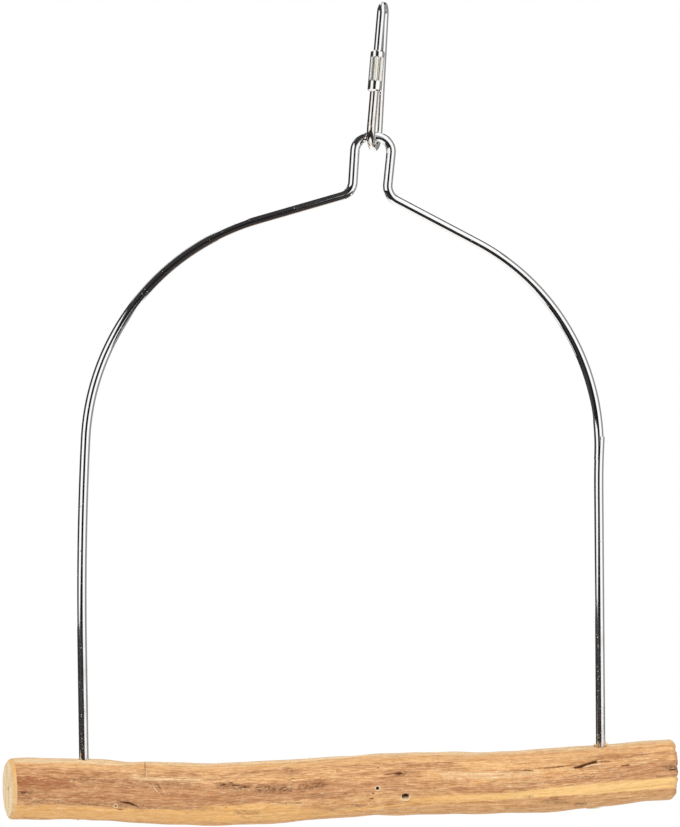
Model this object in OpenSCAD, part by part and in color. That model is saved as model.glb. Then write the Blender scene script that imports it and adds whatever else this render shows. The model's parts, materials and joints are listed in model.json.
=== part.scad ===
// Bird swing: a branch perch on a bent wire frame, hung from a pear-shaped screw link.
// The origin is the inside of the link's top bend, where a hook or bar carries it.
// +X points right, +Y back, +Z up. The wire frame lies in the XZ plane.

/* [Wire frame] */
// Diameter of the frame's wire
wire_d = 3.5; // [2.8:0.1:4]
// Width of the hanging loop, between wire middles
loop_w = 13.6; // [12.4:0.2:16]
// Bend radius at the loop's two top corners
loop_bend_r = 5.2; // [4:0.1:6]
// Drop from the loop's top to the bend at the foot of its left side
neck_left_h = 20.5; // [18:0.5:26]
// Drop from the loop's top to the bend at the foot of its right side
neck_right_h = 21.4; // [18:0.5:26]
// Outward drift of the loop's left side on its way down
neck_left_flare = 1.3; // [0:0.1:2.5]
// Inward drift of the loop's right side on its way down
neck_right_pinch = 2.2; // [0:0.1:2.5]
// Bend radius where the loop turns into the left shoulder
neck_left_bend_r = 5.6; // [4:0.1:8]
// Bend radius where the loop turns into the right shoulder
neck_right_bend_r = 6.2; // [4:0.1:8]
// Distance from the loop's middle to the left leg
left_reach = 107.3; // [98:0.5:125]
// Distance from the loop's middle to the right leg
right_reach = 84.2; // [78:0.5:110]
// Drop from the loop's top to the corner of the left shoulder
left_shoulder_drop = 48.3; // [40:0.5:58]
// Distance of the left shoulder's corner inside the left leg
left_shoulder_in = 4.7; // [0:0.1:6]
// Bend radius of the left shoulder
left_shoulder_r = 87.6; // [60:0.5:95]
// Drop from the loop's top to the corner of the right shoulder
right_shoulder_drop = 63.8; // [56:0.5:70]
// Distance of the right shoulder's corner outside the right leg
right_shoulder_out = 2.3; // [0:0.1:4]
// Bend radius of the right shoulder
right_shoulder_r = 84.2; // [60:0.5:86]
// Drop from the loop's top to the middle of the left leg's slight bow
left_bow_drop = 148.6; // [140:0.5:165]
// Radius of the left leg's slight bow
left_bow_r = 1200; // [700:10:1300]
// Inward lean of the left leg below its bow
left_toe_in = 1.5; // [0.8:0.1:3]
// Drop from the loop's top to the knee below the right shoulder
right_knee_drop = 119.4; // [117:0.2:135]
// Distance of the right knee inside the right leg's foot
right_knee_in = 0.9; // [0.3:0.1:2]
// Bend radius of the right knee
right_knee_r = 300; // [150:5:320]
// Drop from the loop's top to the perch's middle line
frame_drop = 237; // [215:1:270]

/* [Perch] */
// Mean thickness of the branch
perch_d = 22.6; // [18:0.2:28]
// Length of branch beyond the left leg
perch_left_overhang = 27.8; // [20:0.1:45]
// Length of branch beyond the right leg
perch_right_overhang = 27.6; // [20:0.1:45]
// Slant of the left saw cut from square
left_cut_slant = 10; // [0:1:14]
// Slant of the right saw cut from square
right_cut_slant = 3; // [0:1:10]
// Size of the scraped edge round the left saw cut
left_bevel = 1.2; // [0.6:0.1:2]
// Size of the rounded edge at the right end
right_round = 1.8; // [0.8:0.1:2.4]
// Height of each wire end above the branch's underside, inside its drilled hole
wire_end_recess = 1.5; // [1:0.1:4]

/* [Screw link] */
// Diameter of the link's rod
link_rod_d = 3.2; // [2.6:0.1:3.6]
// Overall length of the link
link_len = 55; // [50:0.5:62]
// Bend radius of the narrow top bend, at the rod's middle
link_top_r = 3; // [2.6:0.1:4.4]
// Bend radius of the wide bottom bend, at the rod's middle
link_bottom_r = 6.6; // [5.6:0.1:7.6]
// Width of the mouth behind the closed sleeve
mouth_gap = 5; // [4.6:0.1:6]
// Length of the threaded stub inside the closed sleeve
stub_grip = 4; // [3:0.1:5]
// Pitch of the stub's thread
thread_pitch = 0.7; // [0.5:0.05:0.9]
// Depth of the stub's thread
thread_depth = 0.25; // [0.15:0.05:0.35]
// Lean of the hanging link, its top towards the right
link_lean = 4; // [0:0.5:6]
// Turn of the hanging link, its front side towards the left
link_turn = 17.5; // [0:0.5:20]

/* [Sleeve nut] */
// Outside diameter of the sleeve
sleeve_d = 5.2; // [4.8:0.1:5.6]
// Length of the sleeve
sleeve_len = 15; // [14:0.5:16]
// Distance from the top bend's end to the sleeve's top when closed
sleeve_from_top = 14.4; // [11.5:0.1:15]
// Length of the plain band above the knurl
top_band_len = 2.2; // [1.5:0.1:3]
// Length of the knurled band
knurl_len = 9.3; // [7:0.1:10]
// Number of knurl ridges
knurl_count = 20; // [14:1:26]
// Depth of the knurl's grooves
knurl_depth = 0.28; // [0.1:0.02:0.35]
// Chamfer at each end of the sleeve
sleeve_chamfer = 0.45; // [0.2:0.05:0.6]

/* [Fits] */
// Radial clearance of the sleeve on the rod
slide_gap = 0.08; // [0.05:0.01:0.1]
// Radial clearance of a wire end in its drilled hole
wire_gap = 0.1; // [0.05:0.01:0.2]
// Clearance of the hanging loop above the link's bottom bend
seat_gap = 0.3; // [0.2:0.05:0.5]

/* [Hidden] */

// How far a cut runs past what it cuts
overrun = 1;
// Spare travel of the sleeve past the open mouth
travel_spare = 0.5;
// Chamfer on each tip of the link's rod
tip_chamfer = 0.3;
// Diameter that a rod or wire loses where it is bent
bend_thinning = 0.06;
// Length by which each straight runs on into the bend beside it
bend_tuck = 0.2;
// Share of the thread's pitch that each groove takes up
groove_share = 0.7;
// Fineness of rods, of large bends and of the branch
rod_fn = 40;
bend_fn = 240;
branch_sides = 32;
branch_steps = 34;
// Rounding of the sawn ends: [share of its length, share of its depth] at each ring
end_round_shares = [[0, 0.85], [0.4, 0.3], [1, 0]];

// Shape of the branch: tables along its length, in even steps from left to right.
// Height and sideways place are shares of its thickness, girth is a share of it too.
branch_rise_shares = [-0.010, -0.030, -0.095, -0.138, -0.105, -0.030, 0.005, 0.000, 0.025, 0.105, 0.185];
branch_sway_shares = [0.010, 0.030, 0.040, 0.025, -0.005, -0.030, -0.040, -0.025, 0.000, 0.020, 0.015];
branch_girth_shares = [0.980, 0.980, 0.982, 1.008, 1.010, 0.986, 1.008, 0.996, 1.026, 1.000, 0.980];
// Out-of-round shares of the branch's section, two-sided and three-sided
oval_share = 0.010;
lobe_share = 0.008;
branch_twist = 70;
// Share of the length over which a slanted saw cut fades
slant_fade_share = 0.12;

// Link measures, in the link's own plane: x towards its back side, y up
rod_r = link_rod_d / 2;
link_span = link_len - link_rod_d - link_top_r - link_bottom_r;
link_half_angle = asin((link_bottom_r - link_top_r) / link_span);
link_side_len = link_span * cos(link_half_angle);
top_centre = [0, rod_r - link_top_r, 0];
bottom_centre = top_centre - [0, link_span, 0];
front_start = top_centre + link_top_r * [-cos(link_half_angle), sin(link_half_angle), 0];
front_down = [-sin(link_half_angle), -cos(link_half_angle), 0];
stub_start = sleeve_from_top + sleeve_len - stub_grip;
mouth_start = stub_start - mouth_gap;
sleeve_travel = mouth_gap + stub_grip + travel_spare;

// Place of the frame: its loop hangs just above the link's bottom bend
wire_r = wire_d / 2;
hang_drop = link_len - 2 * link_rod_d - wire_r - seat_gap;
loop_x = -hang_drop * sin(link_lean);
loop_z = -hang_drop * cos(link_lean);

// Place of the branch
left_foot = left_reach - left_toe_in;
perch_len = left_foot + right_reach + perch_left_overhang + perch_right_overhang;
perch_start = loop_x - left_foot - perch_left_overhang;
perch_z = loop_z - frame_drop;
left_leg_share = perch_left_overhang / perch_len;
right_leg_share = 1 - perch_right_overhang / perch_len;

// Smooth curve through an evenly spaced table, at share s of the way along it
function last_of(table) = len(table) - 1;
function entry(table, i) = table[max(0, min(last_of(table), i))];
function blend_four(a, b, c, d, t) =
    b + t * ((c - a) / 2 + t * (a - 2.5 * b + 2 * c - d / 2 + t * (1.5 * (b - c) + (d - a) / 2)));
function along(table, s) =
    let (u = s * last_of(table), i = min(last_of(table) - 1, floor(u)))
    blend_four(entry(table, i - 1), entry(table, i), entry(table, i + 1), entry(table, i + 2), u - i);
function branch_z(s) = perch_z + perch_d * along(branch_rise_shares, s);
function branch_y(s) = perch_d * along(branch_sway_shares, s);
function branch_r(s) = perch_d / 2 * along(branch_girth_shares, s);
function section_share(s, a) =
    1 + oval_share * cos(2 * a - branch_twist * s) + lobe_share * cos(3 * a + branch_twist * s);

// Lowest point of each wire end, measured from the loop's top
function leg_end(s) = branch_z(s) - branch_r(s) + wire_end_recess - loop_z;

// Corners of the wire and the bend radius at each, from the left end to the right end
wire_corners = [
    [-left_foot, leg_end(left_leg_share)],
    [-left_reach, -left_bow_drop],
    [left_shoulder_in - left_reach, -left_shoulder_drop],
    [-loop_w / 2 - neck_left_flare, -neck_left_h],
    [-loop_w / 2, 0],
    [loop_w / 2, 0],
    [loop_w / 2 - neck_right_pinch, -neck_right_h],
    [right_reach + right_shoulder_out, -right_shoulder_drop],
    [right_reach - right_knee_in, -right_knee_drop],
    [right_reach, leg_end(right_leg_share)]
];
wire_bends = [
    0, left_bow_r, left_shoulder_r, neck_left_bend_r, loop_bend_r,
    loop_bend_r, neck_right_bend_r, right_shoulder_r, right_knee_r, 0
];

// Geometry of a bend between two straights
function heading(a, b) = atan2(b.y - a.y, b.x - a.x);
function wrap(a) = a - 360 * round(a / 360);
function turn_at(path, i) = wrap(heading(path[i], path[i + 1]) - heading(path[i - 1], path[i]));
function is_end(path, i) = i == 0 || i == last_of(path);
function trim_at(path, bends, i) = is_end(path, i) ? 0 : bends[i] * tan(abs(turn_at(path, i)) / 2);
function step(a, b, distance) = a + distance * (b - a) / norm(b - a);

// One straight of a bent wire, drawn in the XY plane
module wire_straight(path, bends, i, d) {
    from = step(path[i], path[i + 1], trim_at(path, bends, i));
    to = step(path[i + 1], path[i], trim_at(path, bends, i + 1));
    tuck_in = is_end(path, i) ? 0 : bend_tuck;
    tuck_out = is_end(path, i + 1) ? 0 : bend_tuck;
    translate([from.x, from.y, 0])
        rotate([0, 0, heading(from, to)])
            rotate([0, 90, 0])
                translate([0, 0, -tuck_in])
                    cylinder(h = norm(to - from) + tuck_in + tuck_out, d = d, $fn = rod_fn);
}

// One bend of a bent wire, drawn in the XY plane
module wire_bend(path, bends, i, d) {
    turn = turn_at(path, i);
    side = sign(turn);
    start = step(path[i], path[i - 1], trim_at(path, bends, i));
    inward = heading(path[i - 1], path[i]) + side * 90;
    centre = start + bends[i] * [cos(inward), sin(inward)];
    translate([centre.x, centre.y, 0])
        rotate([0, 0, turn > 0 ? inward + 180 : inward + 180 + turn])
            rotate_extrude(angle = abs(turn), $fn = bend_fn)
                translate([bends[i], 0])
                    circle(d = d - bend_thinning, $fn = rod_fn);
}

module bent_wire(path, bends, d) {
    for (i = [0 : last_of(path) - 1]) wire_straight(path, bends, i, d);
    for (i = [1 : last_of(path) - 1]) wire_bend(path, bends, i, d);
}

// The frame's plane: drawn in XY, stood up in XZ, hung at the loop
module in_frame_plane() {
    translate([loop_x, 0, loop_z])
        rotate([90, 0, 0])
            children();
}

module wire_frame() {
    color("silver")
        in_frame_plane()
            bent_wire(wire_corners, wire_bends, wire_d);
}

// The link's plane: drawn in XY, stood up, turned and leaned as it hangs
module in_link_plane() {
    rotate([0, link_lean, 0])
        rotate([0, 0, 90 - link_turn])
            rotate([90, 0, 0])
                children();
}

// A place on the link's front side, this far below the top bend, with +Z up along the rod
module on_front_side(distance) {
    translate(front_start + distance * front_down)
        rotate([0, 0, -link_half_angle])
            rotate([-90, 0, 0])
                children();
}

// A place on the back side, level with the top bend's end
module on_back_side() {
    mirror([1, 0, 0])
        on_front_side(link_side_len)
            children();
}

module link_bend(centre, r, start, sweep) {
    translate(centre)
        rotate([0, 0, start])
            rotate_extrude(angle = sweep, $fn = bend_fn)
                translate([r, 0])
                    circle(d = link_rod_d - bend_thinning, $fn = rod_fn);
}

// A length of rod that runs up from a bend at z = 0, with its top edge chamfered
module tipped_rod(h) {
    translate([0, 0, -bend_tuck])
        cylinder(h = h - tip_chamfer + bend_tuck, r = rod_r, $fn = rod_fn);
    translate([0, 0, h - tip_chamfer])
        cylinder(h = tip_chamfer, r1 = rod_r, r2 = rod_r - tip_chamfer, $fn = rod_fn);
}

// Thread on the stub, as ring grooves one pitch apart, down from its tip
module thread_grooves() {
    for (i = [1 : floor(stub_grip / thread_pitch) - 1])
        translate([0, 0, -i * thread_pitch])
            rotate_extrude($fn = rod_fn)
                polygon([
                    [rod_r - thread_depth, 0],
                    [rod_r + thread_depth, groove_share * thread_pitch],
                    [rod_r + thread_depth, -groove_share * thread_pitch]
                ]);
}

module quick_link() {
    color("lightsteelblue")
        in_link_plane() {
            link_bend(top_centre, link_top_r, link_half_angle, 180 - 2 * link_half_angle);
            link_bend(bottom_centre, link_bottom_r, 180 - link_half_angle, 180 + 2 * link_half_angle);
            on_back_side()
                translate([0, 0, -bend_tuck])
                    cylinder(h = link_side_len + 2 * bend_tuck, r = rod_r, $fn = rod_fn);
            on_front_side(0)
                mirror([0, 0, 1])
                    tipped_rod(mouth_start);
            difference() {
                on_front_side(link_side_len)
                    tipped_rod(link_side_len - stub_start);
                on_front_side(stub_start)
                    thread_grooves();
            }
        }
}

// The knurled band: straight ridges all round
module knurl_band() {
    points = [
        for (i = [0 : 2 * knurl_count - 1])
            let (a = i * 180 / knurl_count, r = sleeve_d / 2 - (i % 2) * knurl_depth)
            r * [cos(a), sin(a)]
    ];
    linear_extrude(height = knurl_len)
        polygon(points);
}

// A plain band standing on z = 0 with one chamfered end
module plain_band(h) {
    r = sleeve_d / 2;
    cylinder(h = h - sleeve_chamfer, r = r, $fn = rod_fn);
    translate([0, 0, h - sleeve_chamfer])
        cylinder(h = sleeve_chamfer, r1 = r, r2 = r - sleeve_chamfer, $fn = rod_fn);
}

module sleeve_nut() {
    low_band_len = sleeve_len - top_band_len - knurl_len;
    color("gainsboro")
        in_link_plane()
            on_front_side(sleeve_from_top + sleeve_len)
                difference() {
                    union() {
                        translate([0, 0, low_band_len])
                            mirror([0, 0, 1])
                                plain_band(low_band_len);
                        translate([0, 0, low_band_len])
                            knurl_band();
                        translate([0, 0, low_band_len + knurl_len])
                            plain_band(top_band_len);
                    }
                    translate([0, 0, -overrun])
                        cylinder(h = sleeve_len + 2 * overrun, r = rod_r + slide_gap, $fn = rod_fn);
                }
}

// Stations of the branch: [place along it, loss of radius at a rounded end]
branch_stations = [
    for (e = end_round_shares) [e[0] * left_bevel, e[1] * left_bevel],
    for (i = [1 : branch_steps - 1])
        [left_bevel + i * (perch_len - left_bevel - right_round) / branch_steps, 0],
    for (i = [last_of(end_round_shares) : -1 : 0])
        [perch_len - end_round_shares[i][0] * right_round, end_round_shares[i][1] * right_round]
];

// Shift of a section's point along the branch, from the slanted saw cuts
function cut_shift(s, across) =
    across * (tan(right_cut_slant) * max(0, 1 - (1 - s) / slant_fade_share)
        - tan(left_cut_slant) * max(0, 1 - s / slant_fade_share));

function branch_point(station, a) =
    let (
        s = station[0] / perch_len,
        r = (branch_r(s) - station[1]) * section_share(s, a),
        across = r * cos(a)
    )
    [perch_start + station[0] + cut_shift(s, across), branch_y(s) + across, branch_z(s) + r * sin(a)];

module branch() {
    n = branch_sides;
    top = last_of(branch_stations);
    points = [
        for (station = branch_stations)
            for (k = [0 : n - 1]) branch_point(station, k * 360 / n),
        [perch_start, branch_y(0), branch_z(0)],
        [perch_start + perch_len, branch_y(1), branch_z(1)]
    ];
    left_middle = (top + 1) * n;
    faces = [
        for (j = [0 : top - 1])
            for (k = [0 : n - 1])
                let (a = j * n + k, b = j * n + (k + 1) % n)
                each [[a, b, b + n], [a, b + n, a + n]],
        for (k = [0 : n - 1]) [left_middle, (k + 1) % n, k],
        for (k = [0 : n - 1]) [left_middle + 1, top * n + k, top * n + (k + 1) % n]
    ];
    polyhedron(points = points, faces = faces);
}

// Drilled hole for the wire end at corner i, run out both ways past the branch
module leg_hole(i, neighbour) {
    foot = wire_corners[i];
    reach = perch_d + 2 * overrun;
    in_frame_plane()
        translate([foot.x, foot.y, 0])
            rotate([0, 0, heading(foot, wire_corners[neighbour])])
                rotate([0, 90, 0])
                    translate([0, 0, -reach / 2])
                        cylinder(h = 2 * reach, r = wire_r + wire_gap, $fn = rod_fn);
}

module perch() {
    color("burlywood")
        difference() {
            branch();
            leg_hole(0, 1);
            leg_hole(last_of(wire_corners), last_of(wire_corners) - 1);
        }
}

quick_link();
sleeve_nut();
wire_frame();
perch();
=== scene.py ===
"""Looks of a bird swing: a branch perch on a bent chromed wire, hung from a pear-shaped screw link.

Each piece is built here in mesh code at the place of its CAD node, in metres: +X runs to the right along
the perch, +Y to the back and +Z up. The origin is the inside of the link's top bend.
"""

import json
import logging
import math
from collections.abc import Callable, Mapping, Sequence
from dataclasses import dataclass, field
from enum import Enum

import bpy
import numpy as np
from bpy.types import Camera, Light, Material, Node, NodeSocket, NodeTree, Object
from mathutils import Matrix, Vector


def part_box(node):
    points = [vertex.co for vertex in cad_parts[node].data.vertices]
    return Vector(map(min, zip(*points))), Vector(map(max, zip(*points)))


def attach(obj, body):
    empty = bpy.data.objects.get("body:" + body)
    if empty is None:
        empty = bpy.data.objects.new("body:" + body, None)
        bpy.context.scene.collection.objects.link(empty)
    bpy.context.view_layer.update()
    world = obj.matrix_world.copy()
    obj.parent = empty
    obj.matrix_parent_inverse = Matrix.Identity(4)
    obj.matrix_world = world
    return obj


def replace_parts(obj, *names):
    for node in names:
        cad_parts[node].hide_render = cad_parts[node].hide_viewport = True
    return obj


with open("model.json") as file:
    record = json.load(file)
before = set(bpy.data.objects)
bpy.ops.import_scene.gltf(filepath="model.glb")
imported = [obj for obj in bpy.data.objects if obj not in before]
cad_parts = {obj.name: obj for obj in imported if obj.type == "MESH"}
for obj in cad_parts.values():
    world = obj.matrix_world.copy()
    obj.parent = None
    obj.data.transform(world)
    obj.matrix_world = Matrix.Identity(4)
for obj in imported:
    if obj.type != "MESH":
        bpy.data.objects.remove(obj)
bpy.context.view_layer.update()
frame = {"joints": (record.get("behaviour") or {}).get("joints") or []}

log = logging.getLogger("bird_swing")

MM = 0.001
STRAIGHT = "straight"

Array = np.ndarray
Pair = tuple[float, float]
Triple = tuple[float, float, float]
Colour = tuple[float, float, float, float]
Input = NodeSocket | float | Sequence[float]
Outputs = Mapping[str, NodeSocket]


class Finish(Enum):
    """Material slots of the record; nothing here reads them, as each piece builds its own material."""

    LINK = "link_chrome"
    SLEEVE = "sleeve_plating"
    WIRE = "frame_chrome"
    WOOD = "branch_wood"


class Field(Enum):
    """Mesh attributes that hold the marks on the branch's skin, with painted light among them: a highlight
    along the top edge, a shadow line, and shade in cracks and holes.
    """

    SCRAPED = "scraped"
    # cracks and holes, painted dark as painted shade inside them
    CRACK = "crack"
    PALE = "pale"
    # stains, and a painted shadow line along the upper edge of the scraped stripe
    STAIN_AND_SHADOW = "stain_and_shadow"
    BROWN = "brown"
    RED = "red"
    # paler patches, and a painted highlight along the top edge
    LIGHT = "light"


def screen(red: int, green: int, blue: int) -> Colour:
    """Linear colour, with full opacity, of a screen colour from 0 to 255."""
    shares = [value / 255 for value in (red, green, blue)]
    return (*(s / 12.92 if s <= 0.04045 else ((s + 0.055) / 1.055) ** 2.4 for s in shares), 1.0)


def smooth(value: Array, low: float, high: float) -> Array:
    """Smooth step of values, from 0 at low to 1 at high."""
    share = np.clip((value - low) / (high - low), 0, 1)
    return share * share * (3 - 2 * share)


@dataclass(frozen=True)
class Pattern:
    """Noise in a material, and the values between which it turns from nothing to a full spot.

    The scale is how often it changes in each metre, along the piece and in the two directions across it.
    """

    scale: Triple
    low: float = 0.0
    high: float = 1.0
    detail: float = 2.0
    rough: float = 0.55


class Graph:
    """Adds nodes to one node tree and links them by socket."""

    def __init__(self, tree: NodeTree) -> None:
        """Keeps the tree that is filled."""
        self.tree = tree

    def add(self, kind: str, inputs: Mapping[str | int, Input] | None = None, **settings: object) -> Node:
        """Adds a node.

        Args:
            kind: Blender's type name of the node, without its prefix.
            inputs: Value or source of each socket, by name or number.
            **settings: Properties of the node.

        Returns:
            The new node.
        """
        node = self.tree.nodes.new("ShaderNode" + kind)
        for name, setting in settings.items():
            setattr(node, name, setting)
        for key, value in (inputs or {}).items():
            self.feed(node.inputs[key], value)
        return node

    def feed(self, socket: NodeSocket, value: Input) -> None:
        """Gives a socket its value or its source.

        Args:
            socket: The socket that is fed.
            value: A fixed value, or the socket that the value comes from.
        """
        if isinstance(value, NodeSocket):
            self.tree.links.new(value, socket)
        else:
            socket.default_value = value

    def math(self, operation: str, *values: Input, clamp: bool = False) -> NodeSocket:
        """Result of a Math node on one to three values."""
        return self.add("Math", dict(enumerate(values)), operation=operation, use_clamp=clamp).outputs[0]

    def times(self, value: Input, factor: Input, clamp: bool = False) -> NodeSocket:
        """A value times a factor."""
        return self.math("MULTIPLY", value, factor, clamp=clamp)

    def scaled(self, value: Input, factor: Input, extra: Input, clamp: bool = False) -> NodeSocket:
        """A value times a factor, plus an extra value."""
        return self.math("MULTIPLY_ADD", value, factor, extra, clamp=clamp)

    def shaken(self, value: Input, noise: NodeSocket, reach: float) -> NodeSocket:
        """A value with noise around 0.5 added to it, as strong as its reach."""
        return self.scaled(self.math("SUBTRACT", noise, 0.5), reach, value)

    def stretched(self, place: Input, scale: Input) -> NodeSocket:
        """A place with each of its directions scaled."""
        return self.add("VectorMath", {0: place, 1: scale}, operation="MULTIPLY").outputs[0]

    def distance(self, place: Input) -> NodeSocket:
        """Distance of a place from the origin."""
        return self.add("VectorMath", {0: place}, operation="LENGTH").outputs["Value"]

    def share(self, name: str) -> NodeSocket:
        """Mesh attribute that holds one number for each point."""
        return self.add("Attribute", attribute_name=name).outputs["Fac"]

    def noise(self, place: Input, pattern: Pattern) -> NodeSocket:
        """Noise of a pattern, from 0 to 1."""
        inputs = {"Scale": 1.0, "Detail": pattern.detail, "Roughness": pattern.rough}
        return self.add("TexNoise", {"Vector": self.stretched(place, pattern.scale), **inputs}).outputs[0]

    def spots(self, place: Input, pattern: Pattern) -> NodeSocket:
        """Spots of a pattern, 0 between them and 1 inside."""
        return self.step(self.noise(place, pattern), pattern.low, pattern.high)

    def step(self, value: Input, low: float, high: float) -> NodeSocket:
        """Smooth step from 0 at low to 1 at high."""
        inputs = {"Value": value, "From Min": low, "From Max": high}
        return self.add("MapRange", inputs, interpolation_type="SMOOTHSTEP").outputs[0]

    def spread(self, value: Input, low: Input, high: Input) -> NodeSocket:
        """Stretches 0 to 1 over low to high."""
        return self.add("MapRange", {"Value": value, "To Min": low, "To Max": high}).outputs[0]

    def blend(self, share: Input, under: Input, over: Input) -> NodeSocket:
        """Mixes one colour over another by a share."""
        return self.add("Mix", {0: share, 6: under, 7: over}, data_type="RGBA").outputs[2]

    def tint(self, mask: Input, strength: Input, under: Input, over: Input) -> NodeSocket:
        """Mixes one colour over another by a mask and its strength."""
        return self.blend(self.times(mask, strength), under, over)

    def bump(self, height: Input, distance: float, strength: Input = 1.0,
             under: NodeSocket | None = None) -> NodeSocket:
        """Normal of a relief.

        Args:
            height: The relief.
            distance: How high a relief of 1 stands.
            strength: Share of it that shows.
            under: Normal of a broader relief under it.

        Returns:
            The normal.
        """
        inputs = {"Strength": strength, "Distance": distance, "Height": height}
        if under is not None:
            inputs["Normal"] = under
        return self.add("Bump", inputs).outputs[0]


class EffectGroup:
    """A shader node group that more than one material uses."""

    def __init__(self, name: str, inputs: Mapping[str, str], outputs: Sequence[str]) -> None:
        """Makes the empty group.

        Args:
            name: Name of the group.
            inputs: Kind of each input, Vector or Float, by its name.
            outputs: Names of the outputs, which are all values.
        """
        self.tree = bpy.data.node_groups.new(name, "ShaderNodeTree")
        for label, kind in inputs.items():
            self.tree.interface.new_socket(label, in_out="INPUT", socket_type="NodeSocket" + kind)
        for label in outputs:
            self.tree.interface.new_socket(label, in_out="OUTPUT", socket_type="NodeSocketFloat")
        self.graph = Graph(self.tree)
        self.source = self.tree.nodes.new("NodeGroupInput").outputs
        self.sink = self.tree.nodes.new("NodeGroupOutput").inputs

    def give(self, label: str, value: NodeSocket) -> None:
        """Links a value to an output of the group."""
        self.tree.links.new(value, self.sink[label])

    def place(self, graph: Graph, inputs: Mapping[str, Input]) -> Outputs:
        """Places the group in a material with its own values."""
        return graph.add("Group", inputs, node_tree=self.tree).outputs


def long_grain() -> EffectGroup:
    """Wood fibres that run along the branch.

    Returns:
        A group with Streak, the tone of the fibres, Hair, fine single lines, and Height, their relief.
    """
    inputs = {"Place": "Vector", "Across": "Float", "Stretch": "Float"}
    group = EffectGroup("long_grain", inputs, ["Streak", "Hair", "Height"])
    graph, source = group.graph, group.source
    per_fibre = graph.math("DIVIDE", 1.0, source["Across"])
    lengthwise = graph.math("DIVIDE", per_fibre, source["Stretch"])
    scale = graph.add("CombineXYZ", {0: lengthwise, 1: per_fibre, 2: per_fibre}).outputs[0]
    place = graph.stretched(source["Place"], scale)
    streak = graph.noise(place, Pattern((1.0, 1.0, 1.0), detail=4.0, rough=0.6))
    thin = graph.noise(place, Pattern((0.9, 2.6, 2.6), rough=0.5))
    off_line = graph.math("ABSOLUTE", graph.math("SUBTRACT", thin, 0.5))
    gate = graph.spots(place, Pattern((1.4, 0.5, 0.5), 0.48, 0.6, detail=1.0))
    hair = graph.times(graph.step(off_line, 0.022, 0.004), gate)
    group.give("Streak", graph.step(streak, 0.3, 0.7))
    group.give("Hair", hair)
    group.give("Height", graph.scaled(hair, -0.3, graph.times(streak, 0.7)))
    return group


def worn_plate() -> EffectGroup:
    """Wear of bright plate on drawn steel.

    Returns:
        A group with Pits, small broken spots, Lines, drawing marks along the rod, and Height, their relief.
    """
    inputs = {"Place": "Vector", "Pit Size": "Float", "Pit Share": "Float"}
    group = EffectGroup("worn_plate", inputs, ["Pits", "Lines", "Height"])
    graph, source = group.graph, group.source
    per_pit = graph.math("DIVIDE", 1.0, source["Pit Size"])
    scale = graph.add("CombineXYZ", {0: per_pit, 1: per_pit, 2: per_pit}).outputs[0]
    place = graph.stretched(source["Place"], scale)
    cells = graph.add("TexVoronoi", {"Vector": place, "Scale": 1.0, "Randomness": 1.0}).outputs
    chance = graph.add("SeparateColor", {0: cells["Color"]}).outputs[0]
    chosen = graph.math("LESS_THAN", chance, source["Pit Share"])
    ragged = graph.scaled(graph.noise(place, Pattern((4.0, 4.0, 4.0))), 0.25, cells["Distance"])
    pits = graph.times(graph.step(ragged, 0.42, 0.3), chosen)
    lines = graph.noise(source["Place"], Pattern((90.0, 5200.0, 5200.0)))
    group.give("Pits", pits)
    group.give("Lines", lines)
    group.give("Height", graph.scaled(pits, -1.0, graph.times(lines, 0.12)))
    return group


def new_material(name: str) -> tuple[Material, Graph]:
    """Starts a material.

    Args:
        name: Name of the material.

    Returns:
        The material and its graph.
    """
    material = bpy.data.materials.new(name)
    material.use_nodes = True
    return material, Graph(material.node_tree)


class Surface:
    """A material under way, with its graph, its Principled shader and the place on the straight piece."""

    def __init__(self, name: str) -> None:
        """Starts the material.

        Args:
            name: Name of the material.
        """
        self.material, self.graph = new_material(name)
        self.shader = self.material.node_tree.nodes["Principled BSDF"]
        self.place = self.graph.add("Attribute", attribute_name=STRAIGHT).outputs["Vector"]

    def finish(self, inputs: Mapping[str, Input]) -> Material:
        """Feeds the shader.

        Args:
            inputs: Value or source of each of its inputs.

        Returns:
            The finished material.
        """
        for label, value in inputs.items():
            self.graph.feed(self.shader.inputs[label], value)
        return self.material


@dataclass(frozen=True)
class Plate:
    """Bright plate on steel, with drawing lines, pits and a warmer tone where it is worn."""

    name: str
    colour: Colour
    worn_colour: Colour
    roughness: float = 0.03
    line_roughness: float = 0.05
    worn_roughness: float = 0.06
    pit_roughness: float = 0.45
    pit_size: float = 0.9 * MM
    pit_share: float = 0.04
    worn_pit_share: float = 0.45
    relief: float = 0.005 * MM
    waviness: float = 0.014 * MM
    clouds: Pattern = Pattern((160.0, 400.0, 400.0), 0.35, 0.7, detail=3.0)
    waves: Pattern = Pattern((110.0, 240.0, 240.0), detail=1.0)

    def material(self, plate_wear: EffectGroup) -> Material:
        """Builds the material.

        Args:
            plate_wear: The group of plate wear.

        Returns:
            The material, which reads the straight and worn attributes.
        """
        surface = Surface(self.name)
        graph, place = surface.graph, surface.place
        worn = graph.share("worn")
        pit_share = graph.spread(worn, self.pit_share, self.worn_pit_share)
        wear = plate_wear.place(graph, {"Place": place, "Pit Size": self.pit_size, "Pit Share": pit_share})
        lined = graph.spread(wear["Lines"], self.roughness, self.roughness + self.line_roughness)
        haze = graph.scaled(worn, self.worn_roughness, lined)
        broad = graph.bump(graph.noise(place, self.waves), self.waviness)
        return surface.finish({
            "Base Color": graph.tint(worn, graph.spots(place, self.clouds), self.colour, self.worn_colour),
            "Roughness": graph.scaled(wear["Pits"], self.pit_roughness, haze, clamp=True),
            "Metallic": 1.0,
            "Normal": graph.bump(wear["Height"], self.relief, under=broad),
        })


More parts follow.
